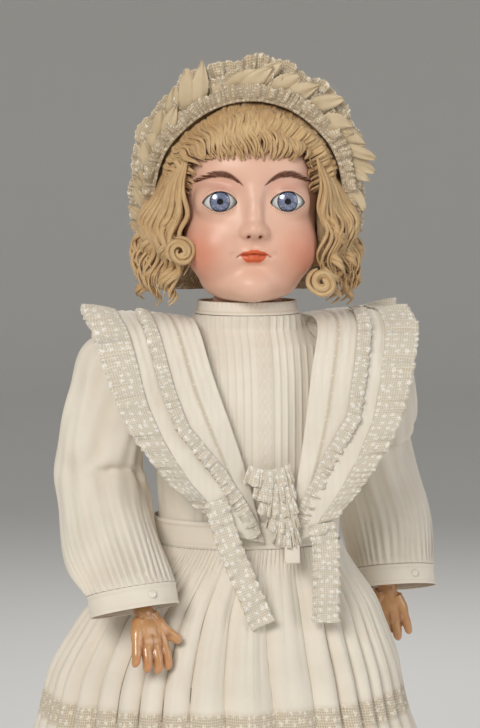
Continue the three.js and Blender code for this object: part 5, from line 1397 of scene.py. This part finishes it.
def sleeve_rings(side, shoulder, elbow, wrist, columns):
    centre, down, across, front = cuff_frame(side, elbow, wrist)
    axis = (elbow - shoulder) / np.linalg.norm(elbow - shoulder)
    out = np.array((side * 1.0, 0, 0))
    bend = elbow + np.array((-side * 8.0, 0, 2))
    end = centre - down * (cuff_depth / 2 + 0.35)
    centres = [np.array((side * 50.0, 2, 506)), shoulder + axis * 20 - out * 2,
               shoulder + axis * 38 + out * 3, shoulder + axis * 64 + out * 2, bend,
               bend + (end - bend) * 0.55 + np.array((side * 3.0, 3, -3)),
               end]
    sizes = [(29, 29, 29), (20, 41.5, 25), (20.5, 34, 25), (24, 29, 26), (28, 28, 27), (28, 29, 25),
             (27, 27, 19)]
    angles = 2 * np.pi * (np.arange(columns) + 0.5) / columns + np.pi
    rings = []
    for i, (middle, (inward, outward, depth)) in enumerate(zip(centres, sizes)):
        if i == 0:
            y, z = 2 - side * 29.2 * np.sin(angles), 506 + 29.2 * np.cos(angles)
            rings.append(np.stack((side * bodice_half_width(y, z), y, z), -1))
            continue
        run = down if i == 6 else centres[i + 1] - centres[i - 1]
        run = run / np.linalg.norm(run)
        sideways = out - run * np.dot(run, out)
        sideways /= np.linalg.norm(sideways)
        ahead = np.cross(run, sideways)
        reach = np.where(np.cos(angles) > 0, outward, inward)
        rings.append(middle + sideways * (reach * np.cos(angles))[:, None]
                     + ahead * (depth * np.sin(angles))[:, None])
    return np.array(rings), angles


def smooth_rows(rings, rows):
    """Rows between the rings, on smooth curves through them."""
    ends = np.concatenate((2 * rings[:1] - rings[1:2], rings, 2 * rings[-1:] - rings[-2:-1]))
    grid = []
    for s in np.linspace(0, len(rings) - 1, rows):
        i = min(int(s), len(rings) - 2)
        grid.append(curve_point(ends, i, s - i))
    return np.array(grid)


def outward_normals(grid):
    along = np.roll(grid, -1, axis=1) - np.roll(grid, 1, axis=1)
    normal = unit(np.cross(along, np.gradient(grid, axis=0)))
    return normal if np.sum(normal * (grid - grid.mean(axis=1, keepdims=True))) > 0 else -normal


def pucker(grid, angles, side):
    """Gathers at both ends and slack wrinkles between, worked along the surface normal, with a mask of
    painted shade in their hollows.
    """
    rows = len(grid)
    normal = outward_normals(grid)
    v = np.linspace(0, 1, rows)[:, None]
    drift = 0.5 * np.sin(3 * angles + 5 * v) + 0.35 * np.sin(7 * angles - 4 * v)
    fine = np.sin(38 * angles + 2.2 * drift)
    broad = np.sin(7 * angles + 2.6 * drift + 4 * v) + 0.5 * np.sin(15 * angles - 3 * v + side)
    cross = (np.sin(24 * v + 2.4 * np.sin(2 * angles + side) + 1.6 * np.cos(3 * angles))
             * np.exp(-((v - 0.62) / 0.16) ** 2))
    top = np.exp(-(v / 0.1) ** 2)
    low = np.exp(-((1 - v) / 0.16) ** 2)
    mid = np.clip(np.sin(np.pi * v), 0, 1)
    depth = 0.55 * fine * (top + 1.5 * low) + 0.8 * broad * mid + 1.1 * cross * np.clip(mid * 1.2, 0, 1)
    depth += 2.2 * low * (1 - low) * 2
    depth *= np.clip(v / 0.03, 0, 1) * np.clip((1 - v) / 0.02, 0.25, 1)
    crease_shade = np.clip(-0.5 * fine * (top + low) - 0.3 * broad * mid - 0.3 * cross, 0, 1)
    return grid + normal * depth[:, :, None], crease_shade


joint_spots = {joint["name"]: np.array(joint["pos_m"]) * 1000 for joint in frame["joints"]}
limbs = {}
for name, side in sides:
    shoulder, elbow, wrist = (joint_spots[f"{j}_{name}"]
                              for j in ("shoulder_swing", "elbow_flex", "wrist_flex"))
    limbs[name] = (shoulder, elbow, wrist)
    rings, angles = sleeve_rings(side, shoulder, elbow, wrist, 180)
    grid, crease_shade = pucker(smooth_rows(rings, 120), angles, side)
    facing = outward_normals(grid)
    split = 52
    for part, rows, bodies, start, end in (
            ("cap", slice(0, split + 1), ("shoulder", "upper_arm"), 0.05, 0.3),
            ("lower", slice(split, 120), ("upper_arm", "elbow"), 0.72, 1.22)):
        mesh = ring_sheet(f"sleeve_{part}_{name}", grid[rows], cloth, (0.95, 1.1), crease_shade[rows], None,
                          facing[rows])
        piece = new_piece(f"sleeve_{part}_{name}", mesh, lawn.material)
        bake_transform(piece)
        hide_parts(f"sleeve_{name}")
    centre, down, across, front = cuff_frame(side, elbow, wrist)
    rise = np.linspace(-0.5, 0.5, 20)
    piping = 0.45 * (np.exp(-((rise + 0.44) / 0.05) ** 2) + np.exp(-((rise - 0.44) / 0.05) ** 2))
    # Painted shade runs round the cuff in two lines just inside its piping.
    stitch_shade = np.exp(-((np.abs(rise) - 0.32) / 0.03) ** 2)
    angles = 2 * np.pi * (np.arange(200) + 0.5) / 200 + np.pi / 2
    grid = (centre + down * (cuff_depth * rise)[:, None, None]
            + across * ((26.9 + piping)[:, None] * np.cos(angles))[..., None]
            + front * ((18.9 + piping)[:, None] * np.sin(angles))[..., None])
    cuff = new_piece(f"band_cuff_{name}",
                     ring_sheet(f"band_cuff_{name}", grid, cloth, (0.7, 0.65), 0.5 * stitch_shade[:, None]),
                     lawn.material, f"forearm_{name}", "lawn", (f"cuff_{name}",))
    outward = front if front[1] < 0 else -front
    spot = centre + across * 9 + outward * 19.2 * math.sqrt(1 - (9 / 27) ** 2)
    facing = Vector(outward).to_track_quat("Z", "Y").to_matrix().to_4x4()
    button = turned_mesh(f"cuff_button_{name}",
                         ((0, -0.3), (2.0, -0.3), (2.3, 0.6), (1.6, 1.2), (1.0, 0.9), (0, 0.8)), 28,
                         Matrix.Translation(Vector(spot) / 1000) @ facing)
    new_piece(f"cuff_button_{name}", button, pearl.material, f"forearm_{name}", "lawn")


# The full skirt: gathered into the waistband, falling in deep rounded folds, with a band of lace
# insertion above the knee and a lace edge. It is made in two halves that meet down the middle.
# Height, half width and half depth at each station, for the skirt here and the petticoat below
skirt_stations = np.array(((398.9, 57, 42), (384, 68, 47), (361, 88, 54), (322, 107, 76), (290, 114, 92),
                           (197, 146, 126)))[::-1]
skirt_heights = np.concatenate((np.linspace(398.9, 380, 22), np.linspace(378.5, 197, 96)))


def station_width(heights, stations, column):
    """Half sizes between the stations, eased so that no corner shows."""
    eased_over = 7.0
    return sum(np.interp(heights + shift * eased_over, stations[:, 0], stations[:, column]) * weight
               for shift, weight in ((-1, 0.25), (0, 0.5), (1, 0.25)))


def fold_wave(angles, v, count, drift, seed):
    """Rounded ridges with narrow valleys between them, from -1 to 1."""
    phase = count * angles + drift * (np.sin(3 * angles + seed)
                                      + 0.7 * np.sin(5 * angles + 2.1 * seed + 1.4 * v))
    return 2 * np.abs(np.cos(phase / 2)) ** 0.8 - 1.1


def skirt_surface(angles, heights, stations, v, deep, fine):
    lean = -14 * np.sin(np.pi * v)
    big = (fold_wave(angles, v, 36, 2.4, 1.7)
           + 0.35 * fold_wave(angles, v, 74, 3.0, 0.6) * np.clip(1 - 2 * v, 0, 1))
    gather = fold_wave(angles, v, 150, 3.0, 2.6) * np.exp(-(v / 0.06) ** 2)
    slow = 0.5 * np.sin(7 * angles + 3 * v) + 0.5 * np.sin(11 * angles - 2 * v + 1)
    depth = (deep * big * np.clip(v * 3.2, 0, 1) ** 0.8 * (0.75 + 0.25 * slow) + fine * gather
             + 0.2 * deep * slow * v)
    half_x = station_width(heights, stations, 1)[:, None] + depth
    half_y = station_width(heights, stations, 2)[:, None] + depth
    grid = np.stack((lean + half_x * np.cos(angles), half_y * np.sin(angles),
                     heights[:, None] + np.zeros_like(depth)), -1)
    # Painted shade lies in the valleys of the big folds and the gathers.
    crease_shade = np.clip(-0.55 * big * np.clip(v * 4, 0, 1) - 0.5 * gather, 0, 1)
    return grid, crease_shade


def half_skirts(name, stations, heights, deep, fine, thick, columns, insertion, node):
    v = ((heights[0] - heights) / (heights[0] - heights[-1]))[:, None]
    for side_name, first in (("right", math.pi / 2), ("left", -math.pi / 2)):
        angles = (first + math.pi * np.linspace(0, 1, columns))[None, :]
        grid, crease_shade = skirt_surface(angles, heights, stations, v, deep, fine)
        piece_name = f"{name}_{side_name}"
        mesh = thin_sheets(piece_name, [grid], thick, None, (1.1, 1.7))
        for label, values in (("crease_shade", crease_shade),
                              ("insertion", np.broadcast_to(insertion(heights)[:, None], crease_shade.shape))):
            set_attribute(mesh, label, np.tile(values.ravel(), 2))
        sharp_rims(mesh, len(heights), columns, False)
        piece = new_piece(piece_name, mesh, lawn.material, "torso", "lawn", (node,))
        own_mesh(piece)


def skirt_lace(heights):
    band = 1 / (1 + np.exp((np.abs(heights - 300) - 7.5) / 0.3))
    return np.clip(band + 1 / (1 + np.exp((heights - 209) / 0.3)), 0, 1)


half_skirts("gathered_skirt", skirt_stations, skirt_heights, 4.6, 0.7, 0.8, 420, skirt_lace, "skirt")
petticoat_stations = np.array(((394, 48, 37.8), (366, 74, 45), (322, 90, 62), (212, 120, 102)))[::-1]
petticoat_heights = np.linspace(393.5, 213, 70)
half_skirts("petticoat", petticoat_stations, petticoat_heights, 2.6, 0.3, 0.7, 240,
            lambda heights: 1 / (1 + np.exp((heights - 226) / 0.3)), "petticoat")


# The strung composition body under the clothes: plaster and paper pulp over wood, flesh painted and
# varnished, with turned balls at the joints and elastic through the bored limbs.
def composition_finish(name, coat):
    finish = Finish(name, srgb(208, 158, 108), srgb(192, 138, 88), patch=60, grain=1200, roughness=0.3,
                    bump=0.12)
    finish.set(Coat_Weight=coat, Coat_Roughness=0.12, Subsurface_Weight=0.05, Subsurface_Scale=0.002)
    return finish


composition = composition_finish("varnished_composition", 0.35)
hidden_body = ["torso"] + [f"{part}_{name}" for name in ("right", "left") for part in (
    "shoulder_ball", "upper_arm", "elbow_ball", "forearm", "hip_ball", "thigh")]
for node in hidden_body:
    keep_node(node, composition)

hand_skin = composition_finish("varnished_hand", 0.8)
# Painted shade: the hand darkens between the fingers and in the crook of the thumb.
hand_skin.paint(srgb(142, 74, 42), hand_skin.attribute("between"), 0.7)
hand_skin.paint(srgb(226, 150, 104), hand_skin.attribute("nail"), 0.6)


def turned(angle, axis):
    return Matrix.Rotation(math.radians(angle), 4, axis)


def moved(x, y, z):
    return Matrix.Translation((x / 1000, y / 1000, z / 1000))


def digit(points, radii):
    """A finger: a round tube with a rounded tip, as a lock without ridges."""
    path = through(points, 26)
    t = np.linspace(0, 1, 26)
    radius = np.interp(t, np.linspace(0, 1, len(radii)), radii) * (1 + 0.035 * np.cos(6 * np.pi * t))
    radius *= np.sqrt(np.clip(1 - np.clip((t - 0.86) / 0.145, 0, 1) ** 2, 0.02, 1))
    return (path, radius, radius, np.array((0.0, 1.0, 0.02)))


finger_lengths = (18.5, 21, 19.5, 15)
finger_spacing = 6.6


def composition_hand(name, side, place):
    """Fingers, thumb, palm and wrist ball, melted into one skin, with painted shade between the fingers and
    in the crook of the thumb, and marks for the nails.
    """
    parts = []
    for i, (length, radius) in enumerate(zip(finger_lengths, (3.3, 3.5, 3.4, 3.0))):
        x = -side * finger_spacing * (1.5 - i)
        parts.append(digit([(x * 0.45, 0.6, -14), (x * 0.85, 0.8, -24), (x, 1.6, -28 - length * 0.22),
                            (x * 1.1, 3.0, -28 - length * 0.62), (x * 1.15, 6.4, -28 - length * 0.86)],
                           (4.2, 4.3, radius, radius * 0.95, radius * 0.8)))
    parts.append(digit([(-side * 4, 0.6, -11), (-side * 10.5, 0.2, -20), (-side * 16.5, -0.6, -25.5),
                        (-side * 20.5, -1.4, -29.5)],
                       (5.0, 4.6, 3.7, 3.1)))
    hand = new_piece(f"composition_hand_{name}", lock_mesh(f"composition_hand_{name}", parts, place, 20, 0.0),
                     hand_skin.material)
    palm = ((0, 0, -9, 6.4, 5.2, 7), (0, 0.8, -19, 10.6, 4.8, 9), (0, 1.2, -26, 12.2, 4.6, 7))
    lumps = [round_mesh("lump", (0, 0, 0), 8.0, 48, 32, place)]
    for x, y, z, rx, ry, rz in palm:
        lumps.append(round_mesh("lump", (0, 0, 0), 1.0, 40, 28,
                                place @ moved(x, y, z) @ Matrix.Diagonal((rx, ry, rz, 1))))
    edit = bmesh.new()
    edit.from_mesh(hand.data)
    for lump in lumps:
        edit.from_mesh(lump)
    edit.to_mesh(hand.data)
    edit.free()
    remesh = hand.modifiers.new("one_skin", "REMESH")
    remesh.mode = "VOXEL"
    remesh.voxel_size = 0.00045
    soften = hand.modifiers.new("soften", "SMOOTH")
    soften.factor = 0.5
    soften.iterations = 5
    bpy.context.view_layer.update()
    finished = bpy.data.meshes.new_from_object(hand.evaluated_get(bpy.context.evaluated_depsgraph_get()))
    hand.modifiers.clear()
    hand.data = finished
    finished.materials.clear()
    finished.materials.append(hand_skin.material)
    finished.shade_smooth()
    x, y, z = local_points(finished, place).T
    below = 1 / (1 + np.exp((z + 24.5) / 0.7))
    # The painted shade between the fingers and in the crook of the thumb.
    between = np.zeros(len(x))
    for gap in (-finger_spacing, 0, finger_spacing):
        between = np.maximum(
            between, np.exp(-((x - gap * (1 + np.clip(-z - 28, 0, 20) * 0.008)) / 0.8) ** 2) * below)
    between = np.maximum(between, np.exp(-((x + side * 11.5) / 2.0) ** 2 - ((z + 25.5) / 1.6) ** 2))
    set_attribute(finished, "between", between)
    nail = np.zeros(len(x))
    for i, length in enumerate(finger_lengths):
        centre = -side * finger_spacing * (1.5 - i) * 1.13
        nail = np.maximum(nail, np.exp(-((x - centre) / 1.5) ** 4
                                       - ((z + 28 + length * 0.76) / 1.9) ** 4) * (y < 3.6))
    set_attribute(finished, "nail", nail)
    settle(hand, f"hand_{name}", "composition", f"hand_{name}")


upper_arm_length = 92
forearm_length = 83
# Side, then the degrees of each joint between the shoulder and the hand in the photograph's pose
poses = {"right": (-1, 0, 23, 35, 60, -20, -20), "left": (1, 38, 23, 17, 52, -10, -12)}
for name, (side, swing, spread, roll, bend, twist, flick) in poses.items():
    shoulder_place = (moved(*limbs[name][0]) @ turned(swing, "X") @ turned(-side * spread, "Y")
                      @ turned(-side * roll, "Z"))
    fore_place = (shoulder_place @ moved(0, 0, -upper_arm_length) @ turned(-bend, "X")
                  @ turned(-side * twist, "Z"))
    hand_place = fore_place @ moved(0, 0, -forearm_length) @ turned(-flick, "X")
    composition_hand(name, side, hand_place)

# Black elastic runs through the limbs; each length lies inside the part it runs in.
elastic = Finish("covered_elastic", srgb(46, 42, 38), srgb(34, 30, 28), patch=500, grain=2400, roughness=0.8,
                 bump=0.4)


def cord_piece(name, points, body, nodes=()):
    path = through(points, 24)
    radius = np.full(24, 1.5)
    mesh = lock_mesh(name, [(path, radius, radius, np.array((0.02, 1.0, 0.01)))], None, 14, 0.0)
    new_piece(name, mesh, elastic.material, body, "elastic", nodes)


cord_piece("torso_cross_elastic", [(-50, 2.5, 512), (0, 5, 511.4), (50, 2.5, 512)], "torso", ("arm_elastic",))
for name, side in sides:
    shoulder, elbow, wrist = limbs[name]
    cord_piece(f"upper_arm_elastic_{name}", [shoulder + (elbow - shoulder) * t for t in (0.2, 0.5, 0.83)],
               f"upper_arm_{name}")
    cord_piece(f"forearm_elastic_{name}", [elbow + (wrist - elbow) * t for t in (0.18, 0.5, 0.8)],
               f"forearm_{name}")
    cord_piece(f"torso_leg_elastic_{name}",
               [(side * 4.2, -3, 507), (side * 15, -1.7, 420), (side * 26.5, -0.3, 345)], "torso",
               (f"leg_elastic_{name}",))
    cord_piece(f"thigh_elastic_{name}", [(side * 29, 0, 298), (side * 29, 0, 245), (side * 29, 0, 192)],
               f"thigh_{name}")


# Lower legs with a rounded calf, ball knees, ribbed white stockings, and low black leather shoes
# with a strap and button over stitched soles. They stand outside the photograph.
knit = Finish("ribbed_stocking", srgb(236, 231, 222), srgb(224, 217, 206), patch=60, grain=1500,
              roughness=0.9, bump=0.3)
leather = Finish("glazed_kid", srgb(50, 36, 30), srgb(36, 26, 22), patch=90, grain=900, roughness=0.35,
                 bump=0.2)
leather.set(Coat_Weight=0.3, Coat_Roughness=0.2)
sole_leather = Finish("sole_leather", srgb(120, 82, 54), srgb(92, 60, 40), patch=70, grain=700, roughness=0.7,
                      bump=0.3)


def section_rings(sections, columns=72):
    """Rings from (centre x, y, z, half width, half depth, lean) sections; lean tips a ring forward."""
    angles = 2 * np.pi * np.arange(columns) / columns
    rings = []
    for x, y, z, wide, deep, lean in sections:
        tip = math.radians(lean)
        rings.append(np.stack((x + wide * np.cos(angles), y + deep * np.sin(angles) * math.cos(tip),
                               z + deep * np.sin(angles) * math.sin(tip)), -1))
    return np.array(rings)


def filled_rings(name, grid):
    """A closed solid skinned over rows of points, capped at both ends."""
    rows, columns = grid.shape[:2]
    points = grid.reshape(-1, 3)
    faces = [(r * columns + c, r * columns + (c + 1) % columns, (r + 1) * columns + (c + 1) % columns,
              (r + 1) * columns + c)
             for r in range(rows - 1) for c in range(columns)]
    faces += [tuple(range(columns)), tuple(range(rows * columns - 1, (rows - 1) * columns - 1, -1))]
    mesh = placed_mesh(name, points, faces)
    face_outwards(mesh)
    return mesh


def foot_rings(x, grow, steps=56, columns=64):
    angles = 2 * np.pi * np.arange(columns) / columns
    rings = []
    for t in 0.5 - 0.5 * np.cos(np.pi * np.linspace(0, 1, steps)):
        y = 17 - 69 * t + (grow if t == 0 else 0) - (grow if t == 1 else 0)
        half = ((10 + 5.5 * math.sin(math.pi * min(t * 0.72 + 0.1, 1)))
                * math.sqrt(math.sin(math.pi * (0.08 + 0.84 * t))))
        height = 13 + 21 * math.exp(-(((t - 0.22) / 0.3) ** 2)) - 4 * t
        middle = 4 + 2 * 0.35 + 1.6 - grow + (height + 2 * grow) / 2
        rings.append(np.stack((x + (half + grow) * np.cos(angles), np.full(columns, y),
                               middle + (height / 2 + grow) * np.sin(angles)), -1))
    return np.array(rings)


leg_offset = 29.0
knee_height = 174
for name, side in sides:
    x = side * leg_offset
    new_piece(f"knee_ball_{name}_fine", round_mesh("knee", (x, 0, knee_height), 14, 64, 44),
              composition.material, f"knee_{name}", "composition", (f"knee_ball_{name}",))
    calf = section_rings([(x, 0, 163.6, 11.2, 11.2, 0), (x, 0, 155, 15.5, 15.5, 0),
                          (x, 3, 132, 17.2, 18.4, 0), (x, 3.5, 112, 16.4, 18, 0),
                          (x, 2, 79, 12.4, 13.2, 0), (x, 0, 54, 12, 12, 0), (x, 0, 30, 12, 13, 0)])
    leg = new_piece(f"calf_{name}", filled_rings(f"calf_{name}", smooth_rows(calf, 90)), composition.material)
    cut(leg, round_mesh("knee_cup", (x, 0, knee_height), 14.6, 64, 44))
    leg.data.shade_smooth()
    settle(leg, f"lower_leg_{name}", "composition", f"lower_leg_{name}")
    sock = section_rings([(x, 2.4, 140.4, 18.6, 19.2, 0), (x, 3, 128, 18.9, 20.2, 0),
                          (x, 3.5, 112, 18.2, 19.8, 0), (x, 2, 79, 14.4, 15.2, 0),
                          (x, 0.4, 58, 13.8, 13.9, 0), (x, -2, 43, 13.2, 15.4, 14),
                          (x, -9, 29, 11.6, 15.5, 42),
                          (x, -22, 18.5, 11.6, 10.6, 70), (x, -38, 14.4, 11.4, 7.2, 84)], 144)
    grid = smooth_rows(sock, 130)
    angles = 2 * np.pi * np.arange(144) / 144
    rib = 0.16 * np.cos(36 * angles)[None, :]
    centre = grid.mean(axis=1, keepdims=True)
    outward = (grid - centre) / np.linalg.norm(grid - centre, axis=2)[:, :, None]
    rows = np.arange(130)[:, None]
    welt = 0.5 * (rows < 7)
    grid = grid + outward * (rib + welt)[:, :, None]
    new_piece(f"stocking_{name}_knit", ring_sheet(f"stocking_{name}_knit", grid, 0.8, (0.8, 1.2)),
              knit.material, f"lower_leg_{name}", "knit", (f"stocking_{name}",))
    upper = new_piece(f"shoe_{name}", filled_rings(f"shoe_{name}", foot_rings(x, 1.95)), leather.material)
    cut(upper, filled_rings("shoe_room", foot_rings(x, 0.35)))
    cut(upper, round_mesh("shoe_mouth", (0, 0, 0), 1.0, 64, 40,
                          moved(x, 4, 48) @ Matrix.Diagonal((17, 34, 27, 1))))
    one_material(upper.data, leather.material)
    upper.data.shade_smooth()
    settle(upper, f"lower_leg_{name}", "kid", f"shoe_upper_{name}")
    strap = through([(x - 14.6, -2, 22), (x - 14.4, -7, 30), (x - 8, -14.5, 37.5), (x, -17, 39.5),
                     (x + 8, -14.5, 37.5), (x + 14.4, -7, 30), (x + 14.6, -2, 22)], 50)
    facing = strap - np.array((x, 4, 24.0))
    mesh = lock_mesh(f"shoe_strap_{name}", [(strap, np.full(50, 2.4), np.full(50, 0.7), facing)], None, 16,
                     0.0)
    new_piece(f"shoe_strap_{name}", mesh, leather.material, f"lower_leg_{name}", "kid")
    button_place = moved(x + side * 13.2, -9.4, 32.6) @ turned(side * 62, "Y") @ turned(24, "X")
    button = turned_mesh(f"shoe_button_{name}", ((0, -0.4), (1.9, -0.4), (2.2, 0.6), (1.4, 1.5), (0, 1.8)),
                         24, button_place)
    new_piece(f"shoe_button_{name}", button, leather.material, f"lower_leg_{name}", "kid")
    angles = 2 * np.pi * np.arange(120) / 120
    rings = []
    for z, out in ((0.0, -0.5), (0.4, 0.0), (3.4, 0.0), (4.0, -0.5)):
        y = -17.5 + (34.5 + 3 + out) * np.sin(angles)
        half = 13.5 + 1.5 * np.tanh(-(y + 14) / 9) + out
        rings.append(np.stack((x + half * np.cos(angles), y, np.full(120, z)), -1))
    new_piece(f"stitched_sole_{name}", filled_rings(f"stitched_sole_{name}", np.array(rings)),
              sole_leather.material, f"lower_leg_{name}", "kid", (f"shoe_sole_{name}",))


low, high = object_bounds()
